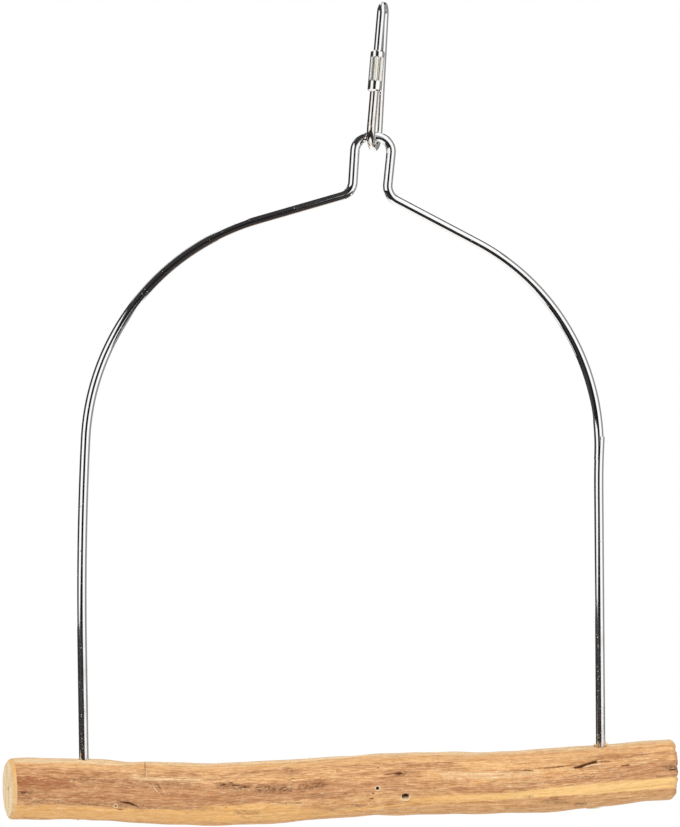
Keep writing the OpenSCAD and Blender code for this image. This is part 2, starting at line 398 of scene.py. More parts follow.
@dataclass(frozen=True)
class PeeledSkin:
    """Skin of a peeled branch: tan and brown fibres, scraped stripes, cracks, stains and scratches, with
    painted light: a highlight along the top edge, a shadow line and shade in the cracks.
    """

    name: str = "peeled_skin"
    tan: Colour = screen(204, 138, 82)
    tan_light: Colour = screen(255, 208, 148)
    brown: Colour = screen(168, 110, 68)
    brown_light: Colour = screen(234, 180, 130)
    red: Colour = screen(160, 92, 48)
    ochre: Colour = screen(246, 185, 108)
    yellow: Colour = screen(255, 205, 129)
    # pale wood, also the colour of the painted highlight along the top edge
    cream: Colour = screen(255, 232, 188)
    # stains, specks and hairlines, and the painted shadow line
    stain_and_shadow: Colour = screen(98, 57, 28)
    # painted shade inside cracks and holes
    crack: Colour = screen(84, 36, 12)
    yellow_from: float = 130 * MM
    yellow_to: float = 215 * MM
    roughness: float = 0.72
    specular: float = 0.35
    relief: float = 0.16 * MM
    wide_fibre: float = 1.5 * MM
    wide_stretch: float = 16.0
    fine_fibre: float = 0.44 * MM
    fine_stretch: float = 10.0
    band_break: float = 0.7
    scrape_break: float = 1.3
    crack_break: float = 0.4
    hair_strength: float = 0.6
    glint_strength: float = 0.5
    pale_strength: float = 0.6
    crack_strength: float = 0.88
    clouds: Pattern = Pattern((45.0, 190.0, 190.0), detail=3.0)
    ragged: Pattern = Pattern((260.0, 1500.0, 1500.0), detail=3.0)
    mottle: Pattern = Pattern((900.0, 1500.0, 1500.0), 0.4, 0.62, detail=3.0, rough=0.65)
    specks: Pattern = Pattern((420.0, 1900.0, 1900.0), 0.66, 0.76)
    glints: Pattern = Pattern((420.0, 2400.0, 2400.0), 0.56, 0.74)
    grit: Pattern = Pattern((1500.0, 2500.0, 2500.0), 0.5, 0.3, detail=1.0)
    frayed: Pattern = Pattern((1100.0, 2600.0, 2600.0))

    def material(self, grain: EffectGroup) -> Material:
        """Builds the material.

        Args:
            grain: The group of long grain.

        Returns:
            The material, which reads the straight attribute and the marks' fields.
        """
        surface = Surface(self.name)
        graph, place = surface.graph, surface.place
        wide = grain.place(graph, {"Place": place, "Across": self.wide_fibre, "Stretch": self.wide_stretch})
        fine = grain.place(graph, {"Place": place, "Across": self.fine_fibre, "Stretch": self.fine_stretch})
        skin = self.tones(surface, wide, fine)
        skin, scraped = self.scrapes(surface, wide, fine, skin)
        skin, dark = self.damage_and_shade(surface, fine, scraped, skin)
        matt = graph.spread(fine["Streak"], self.roughness + 0.12, self.roughness - 0.1)
        height = graph.scaled(dark, -0.6, graph.scaled(fine["Height"], 0.45, wide["Height"]))
        return surface.finish({
            "Base Color": skin,
            "Roughness": graph.scaled(scraped, -0.06, matt, clamp=True),
            "Specular IOR Level": self.specular,
            "Normal": graph.bump(height, self.relief, graph.spread(scraped, 0.85, 0.5)),
        })

    def tones(self, surface: Surface, wide: Outputs, fine: Outputs) -> NodeSocket:
        """Tan and brown fibres of the skin, with its red and paler patches and the painted highlight along
        the top edge.

        Args:
            surface: The material under way.
            wide: Long grain of the broad fibres.
            fine: Long grain of the thin fibres.

        Returns:
            The skin's colour before any mark.
        """
        graph = surface.graph
        mixed = graph.scaled(fine["Streak"], 0.62, graph.times(wide["Streak"], 0.38))
        tan = graph.blend(mixed, self.tan, self.tan_light)
        brown = graph.blend(mixed, self.brown, self.brown_light)
        band = graph.shaken(graph.share(Field.BROWN.value), mixed, -self.band_break)
        band = graph.shaken(band, graph.noise(surface.place, self.clouds), self.band_break)
        skin = graph.blend(graph.step(band, 0.08, 0.85), tan, brown)
        skin = graph.tint(graph.share(Field.RED.value), graph.spread(mixed, 0.95, 0.35), skin, self.red)
        # paler patches, and the painted highlight along the top edge, in cream
        return graph.tint(graph.share(Field.LIGHT.value), graph.spread(mixed, 0.35, 1.0), skin, self.cream)

    def scrapes(self, surface: Surface, wide: Outputs, fine: Outputs,
                skin: NodeSocket) -> tuple[NodeSocket, NodeSocket]:
        """Pale stripes where the skin was scraped off down to the wood.

        Args:
            surface: The material under way.
            wide: Long grain of the broad fibres.
            fine: Long grain of the thin fibres.
            skin: Colour under the stripes.

        Returns:
            The colour with the stripes, and their mask.
        """
        graph = surface.graph
        ragged = graph.noise(surface.place, self.ragged)
        edge = graph.shaken(graph.share(Field.SCRAPED.value), ragged, self.scrape_break)
        scraped = graph.step(edge, -0.22, 0.22)
        along = graph.add("SeparateXYZ", {0: surface.place}).outputs[0]
        bright = graph.step(along, self.yellow_from, self.yellow_to)
        wood = graph.blend(bright, self.ochre, self.yellow)
        dim = graph.scaled(fine["Streak"], -0.4, graph.scaled(wide["Streak"], -0.3, 0.42))
        dim = graph.times(dim, graph.spread(bright, 1.0, 0.2), clamp=True)
        wood = graph.blend(dim, wood, self.brown)
        wood = graph.tint(fine["Streak"], 0.2, wood, self.cream)
        return graph.blend(scraped, skin, wood), scraped

    def damage_and_shade(self, surface: Surface, fine: Outputs, scraped: NodeSocket,
               skin: NodeSocket) -> tuple[NodeSocket, NodeSocket]:
        """Stains, scratches and cracks on top of the skin, with a painted shadow line and painted shade in
        the cracks and holes.

        Args:
            surface: The material under way.
            fine: Long grain of the thin fibres.
            scraped: Mask of the scraped stripes, which hold fewer specks.
            skin: Colour under the marks.

        Returns:
            The finished colour, and the mask of the cracks.
        """
        graph, place = surface.graph, surface.place
        mottled = graph.spread(graph.spots(place, self.mottle), 0.25, 0.85)
        # stains, and the painted shadow line along the scraped stripe's upper edge
        skin = graph.tint(graph.share(Field.STAIN_AND_SHADOW.value), mottled, skin, self.stain_and_shadow)
        skin = graph.tint(graph.spots(place, self.specks), graph.spread(scraped, 0.5, 0.1), skin, self.stain_and_shadow)
        skin = graph.tint(fine["Hair"], self.hair_strength, skin, self.stain_and_shadow)
        skin = graph.tint(graph.spots(place, self.glints), self.glint_strength, skin, self.cream)
        skin = graph.tint(graph.spots(place, self.grit), graph.spread(scraped, 0.28, 0.06), skin, self.brown)
        frayed = graph.noise(place, self.frayed)
        pale = graph.shaken(graph.share(Field.PALE.value), frayed, self.crack_break)
        skin = graph.tint(graph.step(pale, -0.1, 0.12), self.pale_strength, skin, self.cream)
        # cracks and holes, painted dark as painted shade inside them
        crack = graph.shaken(graph.share(Field.CRACK.value), frayed, self.crack_break)
        crack = graph.step(crack, -0.1, 0.14)
        return graph.tint(crack, self.crack_strength, skin, self.crack), crack


@dataclass(frozen=True)
class SawnFace:
    """Sawn end grain: pale wood with growth rings, saw marks, a darker pith and a darker edge."""

    name: str = "sawn_face"
    wood: Colour = screen(255, 235, 193)
    ring: Colour = screen(222, 170, 116)
    pith: Colour = screen(150, 104, 66)
    edge: Colour = screen(227, 179, 115)
    ring_gap: float = 1.15 * MM
    ring_wobble: float = 5.0
    pith_from: float = 0.35 * MM
    pith_to: float = 1.0 * MM
    edge_from: float = 9.7 * MM
    edge_fade: float = 0.7 * MM
    edge_break: float = 2.4 * MM
    pore: float = 0.22 * MM
    specular: float = 0.3
    relief: float = 0.12 * MM
    wobble: Pattern = Pattern((0.0, 190.0, 190.0))
    saw_marks: Pattern = Pattern((0.0, 2600.0, 120.0), 0.5, 0.68)
    broad_marks: Pattern = Pattern((0.0, 380.0, 70.0), 0.46, 0.6)
    patches: Pattern = Pattern((700.0, 420.0, 420.0), detail=3.0)

    def material(self, grain: EffectGroup) -> Material:
        """Builds the material.

        Args:
            grain: The group of long grain.

        Returns:
            The material, which reads the straight attribute.
        """
        surface = Surface(self.name)
        graph = surface.graph
        flat = graph.stretched(surface.place, (0.0, 1.0, 1.0))
        from_pith = graph.distance(flat)
        wobble = graph.times(graph.noise(flat, self.wobble), self.ring_wobble)
        rings = graph.math("SINE", graph.scaled(from_pith, math.tau / self.ring_gap, wobble))
        fibres = grain.place(graph, {"Place": flat, "Across": self.pore, "Stretch": 1.0})
        saw = graph.noise(flat, self.saw_marks)
        sawn = graph.step(saw, self.saw_marks.low, self.saw_marks.high)
        masks = (graph.step(rings, 0.3, 0.95), fibres["Streak"], sawn, graph.spots(flat, self.broad_marks))
        tone = self.wood
        for mask, strength in zip(masks, (0.4, 0.12, 0.25, 0.45), strict=True):
            tone = graph.tint(mask, strength, tone, self.ring)
        tone = graph.blend(graph.step(from_pith, self.pith_to, self.pith_from), tone, self.pith)
        patches = graph.noise(surface.place, self.patches)
        rim_from = graph.shaken(from_pith, patches, self.edge_break)
        rim = graph.step(rim_from, self.edge_from, self.edge_from + self.edge_fade)
        rim = graph.times(rim, graph.spread(patches, 0.45, 1.3), clamp=True)
        return surface.finish({
            "Base Color": graph.blend(rim, tone, self.edge),
            "Roughness": graph.spread(saw, 0.7, 0.92),
            "Specular IOR Level": self.specular,
            "Normal": graph.bump(graph.scaled(saw, 1.4, fibres["Height"]), self.relief, 0.7),
        })


@dataclass(frozen=True)
class TornFibre:
    """Torn pale fibres that stand off the wood."""

    name: str = "torn_fibre"
    root: Colour = screen(206, 156, 104)
    tip: Colour = screen(250, 232, 196)
    strand: float = 0.12 * MM
    relief: float = 0.05 * MM

    def material(self, grain: EffectGroup) -> Material:
        """Builds the material.

        Args:
            grain: The group of long grain.

        Returns:
            The material, which reads the straight and reach attributes.
        """
        surface = Surface(self.name)
        graph = surface.graph
        fibres = grain.place(graph, {"Place": surface.place, "Across": self.strand, "Stretch": 12.0})
        pale = graph.scaled(fibres["Streak"], 0.35, graph.share("reach"), clamp=True)
        return surface.finish({
            "Base Color": graph.blend(pale, self.root, self.tip),
            "Roughness": graph.spread(fibres["Streak"], 0.9, 0.7),
            "Normal": graph.bump(fibres["Height"], self.relief, 0.5),
        })


@dataclass
class Mesh:
    """Points, faces and attributes of one piece before it becomes an object."""

    name: str
    points: Array
    faces: list[Sequence[int]]
    attributes: dict[str, Array] = field(default_factory=dict)
    face_materials: Array | None = None

    def build(self, materials: Sequence[Material], sharp: float = 35.0) -> Object:
        """Makes the object.

        Args:
            materials: Its materials, in the order of face_materials.
            sharp: Angle in degrees from which an edge shows as sharp.

        Returns:
            The object, linked to the scene.
        """
        mesh = bpy.data.meshes.new(self.name)
        mesh.from_pydata(self.points.tolist(), [], [list(face) for face in self.faces])
        for label, values in self.attributes.items():
            vector = values.ndim == 2
            kind, key = ("FLOAT_VECTOR", "vector") if vector else ("FLOAT", "value")
            layer = mesh.attributes.new(label, kind, "POINT")
            layer.data.foreach_set(key, values.astype(np.float32).ravel())
        for material in materials:
            mesh.materials.append(material)
        if self.face_materials is not None:
            mesh.polygons.foreach_set("material_index", self.face_materials.astype(np.int32))
        mesh.polygons.foreach_set("use_smooth", [True] * len(mesh.polygons))
        mesh.set_sharp_from_angle(angle=math.radians(sharp))
        mesh.update()
        piece = bpy.data.objects.new(self.name, mesh)
        bpy.context.scene.collection.objects.link(piece)
        return piece


def ring_faces(rings: int, sides: int, first: int = 0) -> list[tuple[int, ...]]:
    """Faces between rings of points that follow each other.

    Args:
        rings: Number of rings.
        sides: Points in each ring.
        first: Number of the first point.

    Returns:
        Four-sided faces, turned outwards for rings that run along the piece anticlockwise.
    """
    low = first + np.arange(rings - 1)[:, None] * sides
    here = np.arange(sides)[None, :]
    after = (here + 1) % sides
    corners = np.stack([low + here, low + after, low + after + sides, low + here + sides], axis=-1)
    return [tuple(face) for face in corners.reshape(-1, 4).tolist()]


def end_faces(rings: int, sides: int, first: int = 0) -> list[tuple[int, ...]]:
    """The two faces that close the first and the last of such rings, turned outwards."""
    last = first + (rings - 1) * sides
    return [tuple(range(first, first + sides))[::-1], tuple(range(last, last + sides))]


def straightened(lengths: Array, radii: Array) -> Array:
    """Points of a round piece as if it lay straight along the first axis.

    Args:
        lengths: Length along the piece of each ring.
        radii: Radius at each ring and side.

    Returns:
        The points, one in each row.
    """
    angle = np.arange(radii.shape[1]) * math.tau / radii.shape[1]
    lengths = np.broadcast_to(lengths[:, None], radii.shape)
    return np.stack([lengths, radii * np.cos(angle), radii * np.sin(angle)], axis=-1).reshape(-1, 3)


def swept(middles: Array, beside: Array, radii: Array, placing: Matrix) -> Array:
    """Points of a round piece whose middle line lies in a plane.

    Args:
        middles: Middle of each ring, in the plane.
        beside: Direction in the plane from each middle to the ring's first side.
        radii: Radius at each ring and side.
        placing: Matrix from the plane to the part's frame.

    Returns:
        The points, one in each row.
    """
    angle = np.arange(radii.shape[1]) * math.tau / radii.shape[1]
    local = np.empty((*radii.shape, 3))
    local[:, :, :2] = middles[:, None, :] + (radii * np.cos(angle))[:, :, None] * beside[:, None, :]
    local[:, :, 2] = radii * np.sin(angle)
    return local.reshape(-1, 3) @ np.array(placing.to_3x3()).T + np.array(placing.translation)


@dataclass(frozen=True)
class Straight:
    """Straight length of a rod in its own plane."""

    start: Array
    end: Array

    def points(self, step: float) -> Array:
        """Points along the length, ends included, and no further apart than the step."""
        count = max(2, math.ceil(math.dist(self.start, self.end) / step) + 1)
        return np.linspace(self.start, self.end, count)


@dataclass(frozen=True)
class Arc:
    """Bend of a rod in its own plane, with its angles in radians."""

    centre: Array
    radius: float
    start: float
    sweep: float

    def points(self, step: float) -> Array:
        """Points along the bend, ends included, and no coarser than 4 degrees.

        Args:
            step: Greatest distance between two points.

        Returns:
            The points, one in each row.
        """
        count = max(3, math.ceil(abs(self.sweep) * max(self.radius / step, 1 / math.radians(4))) + 1)
        angle = self.start + np.linspace(0, 1, count) * self.sweep
        return self.centre + self.radius * np.stack([np.cos(angle), np.sin(angle)], axis=-1)


@dataclass
class RodLine:
    """Middle line of a bent rod, in its own plane."""

    points: Array
    directions: Array
    lengths: Array

    @classmethod
    def trace(cls, pieces: Sequence[Straight | Arc], step: float) -> "RodLine":
        """Follows straights and bends.

        Args:
            pieces: Straights and bends in order.
            step: Greatest distance between two points.

        Returns:
            The line, with its directions and its length so far at each point.
        """
        found = [piece.points(step) for piece in pieces]
        points = np.concatenate([found[0][:1], *[part[1:] for part in found]])
        gaps = np.linalg.norm(np.diff(points, axis=0), axis=1)
        lengths = np.concatenate([[0], np.cumsum(gaps)])
        directions = np.gradient(points, lengths, axis=0)
        return cls(points, directions / np.linalg.norm(directions, axis=1)[:, None], lengths)

    def sweep(self, name: str, placing: Matrix, radii: Array, lengths: Array) -> Mesh:
        """Sweeps a closed rod along the line.

        Args:
            name: Name of the piece.
            placing: Matrix from the rod's plane to the part's frame.
            radii: Radius at each ring and side, as rings by sides.
            lengths: Length along the line of each ring.

        Returns:
            The rod's mesh with its straight attribute.
        """
        so_far = self.lengths
        middles = np.stack([np.interp(lengths, so_far, column) for column in self.points.T], axis=-1)
        directions = np.stack([np.interp(lengths, so_far, column) for column in self.directions.T], axis=-1)
        directions /= np.linalg.norm(directions, axis=1)[:, None]
        beside = np.stack([-directions[:, 1], directions[:, 0]], axis=-1)
        points = swept(middles, beside, radii, placing)
        faces = ring_faces(*radii.shape) + end_faces(*radii.shape)
        return Mesh(name, points, faces, {STRAIGHT: straightened(lengths, radii)})


@dataclass(frozen=True)
class BranchLine:
    """Middle line and girth of the branch, as its CAD solid has them.

    The rise, sway and girth are shares of its thickness, in even steps from left to right.
    """

    start: float
    height: float
    length: float
    thickness: float = 22.6 * MM
    left_slant: float = math.radians(10)
    right_slant: float = math.radians(3)
    slant_fade: float = 0.12
    twist: float = math.radians(70)
    oval_share: float = 0.010
    lobe_share: float = 0.008
    rises: tuple[float, ...] = (-0.01, -0.03, -0.095, -0.138, -0.105, -0.03, 0.005, 0.0, 0.025, 0.105, 0.185)
    sways: tuple[float, ...] = (0.01, 0.03, 0.04, 0.025, -0.005, -0.03, -0.04, -0.025, 0.0, 0.02, 0.015)
    girths: tuple[float, ...] = (0.98, 0.98, 0.982, 1.008, 1.01, 0.986, 1.008, 0.996, 1.026, 1.0, 0.98)

    @staticmethod
    def smooth_table(table: Sequence[float], share: Array) -> Array:
        """Smooth curve through an evenly spaced table.

        Args:
            table: The table's entries.
            share: Places along the table, from 0 to 1.

        Returns:
            The curve's values.
        """
        entries, last = np.array(table), len(table) - 1
        place = share * last
        low = np.clip(np.floor(place).astype(int), 0, last - 1)
        t = place - low
        a, b, c, d = (entries[np.clip(low + k, 0, last)] for k in (-1, 0, 1, 2))
        return b + t * ((c - a) / 2 + t * (a - 2.5 * b + 2 * c - d / 2 + t * (1.5 * (b - c) + (d - a) / 2)))

    def middle(self, share: Array) -> Array:
        """Height of the middle line."""
        return self.height + self.thickness * self.smooth_table(self.rises, share)

    def sway(self, share: Array) -> Array:
        """Sideways place of the middle line."""
        return self.thickness * self.smooth_table(self.sways, share)

    def radius(self, share: Array) -> Array:
        """Mean radius."""
        return self.thickness / 2 * self.smooth_table(self.girths, share)

    def slant(self, along: Array, across: Array) -> Array:
        """Shift along the branch that gives its ends their slanting cuts.

        Args:
            along: Distance from the left cut.
            across: Distance behind the middle line.

        Returns:
            Shift in the unit of the second argument.
        """
        share = along / self.length
        right = math.tan(self.right_slant) * np.maximum(0, 1 - (1 - share) / self.slant_fade)
        left = math.tan(self.left_slant) * np.maximum(0, 1 - share / self.slant_fade)
        return across * (right - left)

    def surface(self, along: Array, angle: Array, radius: Array) -> Array:
        """Points of the branch.

        Args:
            along: Distance from the left cut.
            angle: Angle round the branch, from the back over the top.
            radius: Mean radius before the section's own unevenness.

        Returns:
            Points in the part's frame.
        """
        share = along / self.length
        turned = self.twist * share
        oval = self.oval_share * np.cos(2 * angle - turned)
        uneven = 1 + oval + self.lobe_share * np.cos(3 * angle + turned)
        across = radius * uneven * np.cos(angle)
        x = self.start + along + self.slant(along, across)
        z = self.middle(share) + radius * uneven * np.sin(angle)
        return np.stack([x, self.sway(share) + across, z], axis=-1)


@dataclass
class WireFrame:
    """The bent wire: two legs, two shoulders and the keyhole loop that hangs on the link."""

    loop: Vector
    branch: BranchLine
    wire_radius: float = 1.75 * MM
    loop_width: float = 13.6 * MM
    loop_bend: float = 5.2 * MM
    neck_left_height: float = 20.5 * MM
    neck_left_flare: float = 1.3 * MM
    neck_left_bend: float = 5.6 * MM
    neck_right_height: float = 21.4 * MM
    neck_right_pinch: float = 2.2 * MM
    neck_right_bend: float = 6.2 * MM
    left_reach: float = 107.3 * MM
    left_shoulder_drop: float = 48.3 * MM
    left_shoulder_in: float = 4.7 * MM
    left_shoulder_bend: float = 87.6 * MM
    left_bow_drop: float = 148.6 * MM
    left_bow: float = 1.2
    left_toe_in: float = 1.5 * MM
    right_reach: float = 84.2 * MM
    right_shoulder_drop: float = 63.8 * MM
    right_shoulder_out: float = 2.3 * MM
    right_shoulder_bend: float = 84.2 * MM
    right_knee_drop: float = 119.4 * MM
    right_knee_in: float = 0.9 * MM
    right_knee: float = 0.3
    recess: float = 1.5 * MM
    tip_chamfer: float = 0.25 * MM
    sides: int = 56
    step: float = 1.2 * MM
    worn_left: Pair = (78 * MM, 30 * MM)
    worn_right: Pair = (82 * MM, 34 * MM)
    shoulder_wear_on: Pair = (172 * MM, 190 * MM)
    shoulder_wear_off: Pair = (285 * MM, 262 * MM)
    shoulder_wear: float = 0.1
    plate: Plate = Plate("frame_plate", (0.98, 0.98, 0.98, 1.0), (0.72, 0.68, 0.64, 1.0))

    def foot_end(self, side_x: float) -> float:
        """Height of a wire end above the loop's top, inside its drilled hole."""
        share = np.array((self.loop.x + side_x - self.branch.start) / self.branch.length)
        return float(self.branch.middle(share) - self.branch.radius(share)) + self.recess - self.loop.z

    def corners(self) -> list[tuple[Pair, float]]:
        """Corners of the wire from its left end to its right end.

        Returns:
            Each corner, measured from the loop's top, and its bend radius.
        """
        half = self.loop_width / 2
        left_foot = self.left_toe_in - self.left_reach
        right_shoulder = self.right_reach + self.right_shoulder_out
        return [
            ((left_foot, self.foot_end(left_foot)), 0),
            ((-self.left_reach, -self.left_bow_drop), self.left_bow),
            ((self.left_shoulder_in - self.left_reach, -self.left_shoulder_drop), self.left_shoulder_bend),
            ((-half - self.neck_left_flare, -self.neck_left_height), self.neck_left_bend),
            ((-half, 0.0), self.loop_bend),
            ((half, 0.0), self.loop_bend),
            ((half - self.neck_right_pinch, -self.neck_right_height), self.neck_right_bend),
            ((right_shoulder, -self.right_shoulder_drop), self.right_shoulder_bend),
            ((self.right_reach - self.right_knee_in, -self.right_knee_drop), self.right_knee),
            ((self.right_reach, self.foot_end(self.right_reach)), 0),
        ]

    def pieces(self) -> list[Straight | Arc]:
        """Straights and bends of the wire, from the left end to the right end.

        Returns:
            A straight before each bend, and one after the last.
        """
        corners = [(np.array(place), bend) for place, bend in self.corners()]
        found: list[Straight | Arc] = []
        here = corners[0][0]
        for (before, _), (corner, bend), (after, _) in zip(corners, corners[1:], corners[2:], strict=False):
            come = (corner - before) / np.linalg.norm(corner - before)
            go = (after - corner) / np.linalg.norm(after - corner)
            turn = math.atan2(come[0] * go[1] - come[1] * go[0], float(come @ go))
            start = corner - come * bend * math.tan(abs(turn) / 2)
            inward = math.copysign(1, turn) * np.array([-come[1], come[0]])
            centre = start + bend * inward
            found.append(Straight(here, start))
            found.append(Arc(centre, bend, math.atan2(-inward[1], -inward[0]), turn))
            here = found[-1].points(self.step)[-1]
        found.append(Straight(here, corners[-1][0]))
        return found

    def build(self, plate_wear: EffectGroup) -> Object:
        """Builds and dresses the wire.

        Args:
            plate_wear: The group of plate wear.

        Returns:
            The wire, which stands for its CAD node.
        """
        line = RodLine.trace(self.pieces(), self.step)
        total = float(line.lengths[-1])
        inside = line.lengths[(line.lengths > self.tip_chamfer) & (line.lengths < total - self.tip_chamfer)]
        lengths = np.concatenate([[0, self.tip_chamfer], inside, [total - self.tip_chamfer, total]])
        loss = np.maximum(0, self.tip_chamfer - np.minimum(lengths, total - lengths))
        radii = np.repeat((self.wire_radius - loss)[:, None], self.sides, axis=1)
        placing = Matrix.Translation(self.loop) @ Matrix.Rotation(math.pi / 2, 4, "X")
        mesh = line.sweep("bent_wire", placing, radii, lengths)
        foot_wear = np.maximum(smooth(lengths, *self.worn_left), smooth(total - lengths, *self.worn_right))
        shoulder = self.shoulder_wear * smooth(lengths, *self.shoulder_wear_on)
        shoulder *= smooth(lengths, *self.shoulder_wear_off)
        mesh.attributes["worn"] = np.repeat(np.maximum(foot_wear, shoulder), self.sides)
        wire = mesh.build([self.plate.material(plate_wear)])
        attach(wire, "swing")
        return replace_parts(wire, "wire_frame")


@dataclass
class LinkPlane:
    """Pear-shaped line of the screw link, in its own plane: x to its back side, y up."""

    rod_radius: float = 1.6 * MM
    length: float = 55 * MM
    top_bend: float = 3 * MM
    bottom_bend: float = 6.6 * MM
    lean: float = math.radians(4)
    turn: float = math.radians(17.5)

    def __post_init__(self) -> None:
        """Works out the side lines between the two bends."""
        self.span = self.length - 2 * self.rod_radius - self.top_bend - self.bottom_bend
        self.half_angle = math.asin((self.bottom_bend - self.top_bend) / self.span)
        self.side_length = self.span * math.cos(self.half_angle)
        self.top = np.array([0.0, self.rod_radius - self.top_bend])
        self.bottom = self.top - np.array([0.0, self.span])
        away = np.array([-math.cos(self.half_angle), math.sin(self.half_angle)])
        self.front_start = self.top + self.top_bend * away
        self.front_down = np.array([-math.sin(self.half_angle), -math.cos(self.half_angle)])

    def placing(self) -> Matrix:
        """Matrix from the link's plane to the part's frame."""
        turned = Matrix.Rotation(self.lean, 4, "Y") @ Matrix.Rotation(math.pi / 2 - self.turn, 4, "Z")
        return turned @ Matrix.Rotation(math.pi / 2, 4, "X")

    def front_place(self, distance: float) -> Array:
        """Place on the front side, this far below the top bend's end."""
        return self.front_start + distance * self.front_down


@dataclass
class QuickLink:
    """The screw link's rod, open behind the sleeve, with a threaded stub."""

    plane: LinkPlane
    stub_start: float = 25.4 * MM
    mouth: float = 5 * MM
    tip_chamfer: float = 0.3 * MM
    thread_pitch: float = 0.7 * MM
    thread_depth: float = 0.25 * MM
    thread_length: float = 3.4 * MM
    thread_root: float = 1.25
    thread_flank: float = 4.2
    rings_per_pitch: int = 10
    sides: int = 48
    step: float = 0.5 * MM
    thread_wear: float = 0.5
    thread_wear_length: float = 6 * MM
    side_wear: float = 0.6
    side_wear_middle: float = 62 * MM
    side_wear_reach: float = 12 * MM
    bend_wear_middle: float = 91 * MM
    bend_wear_reach: Pair = (13 * MM, 5 * MM)
    plate: Plate = Plate("link_plate", (0.98, 0.98, 0.98, 1.0), (0.86, 0.70, 0.57, 1.0), waviness=0.010 * MM)

    def pieces(self) -> list[Straight | Arc]:
        """Straights and bends of the rod, from the mouth's upper side round to the stub.

        Returns:
            The two sides and the parts of the front side, with the bends between them.
        """
        plane, tilt = self.plane, self.plane.half_angle
        back_side = plane.side_length * np.array([math.sin(tilt), -math.cos(tilt)])
        back_top = plane.top + plane.top_bend * np.array([math.cos(tilt), math.sin(tilt)])
        return [
            Straight(plane.front_place(self.stub_start - self.mouth), plane.front_start),
            Arc(plane.top, plane.top_bend, math.pi - tilt, 2 * tilt - math.pi),
            Straight(back_top, back_top + back_side),
            Arc(plane.bottom, plane.bottom_bend, tilt, -math.pi - 2 * tilt),
            Straight(plane.front_place(plane.side_length), plane.front_place(self.stub_start)),
        ]

    def build(self, plate_wear: EffectGroup) -> Object:
        """Builds and dresses the link's rod.

        Args:
            plate_wear: The group of plate wear.

        Returns:
            The rod, which stands for its CAD node.
        """
        line = RodLine.trace(self.pieces(), self.step)
        total = float(line.lengths[-1])
        thread_start = total - self.thread_length
        plain = line.lengths[(line.lengths > self.tip_chamfer) & (line.lengths < thread_start)]
        ring_gap = self.thread_pitch / self.rings_per_pitch
        threaded = np.arange(thread_start, total - self.tip_chamfer, ring_gap)
        ends = [total - self.tip_chamfer, total - self.tip_chamfer / 2, total]
        lengths = np.concatenate([[0, self.tip_chamfer / 2, self.tip_chamfer], plain, threaded, ends])
        chamfer = np.maximum(0, self.tip_chamfer - np.minimum(lengths, total - lengths))
        side = np.arange(self.sides) / self.sides
        phase = ((lengths[:, None] - thread_start) / self.thread_pitch - side) % 1
        groove = np.clip(self.thread_root - np.abs(phase - 0.5) * self.thread_flank, 0, 1)
        run_in = smooth(lengths, thread_start, thread_start + self.thread_pitch)[:, None]
        radii = self.plane.rod_radius - np.maximum(chamfer[:, None], self.thread_depth * groove * run_in)
        mesh = line.sweep("link_rod", self.plane.placing(), radii, lengths)
        mesh.points = np.clip(mesh.points, *(np.array(corner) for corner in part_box("quick_link")))
        thread_wear = self.thread_wear * (lengths > thread_start - self.thread_wear_length)
        off_side = np.abs(lengths - self.side_wear_middle)
        side_wear = self.side_wear * smooth(off_side, self.side_wear_reach, 0.0)
        bend_wear = smooth(np.abs(lengths - self.bend_wear_middle), *self.bend_wear_reach)
        worn = np.maximum(np.maximum(thread_wear, side_wear), bend_wear)
        mesh.attributes["worn"] = np.repeat(worn, self.sides)
        rod = mesh.build([self.plate.material(plate_wear)])
        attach(rod, "link")
        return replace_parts(rod, "quick_link")


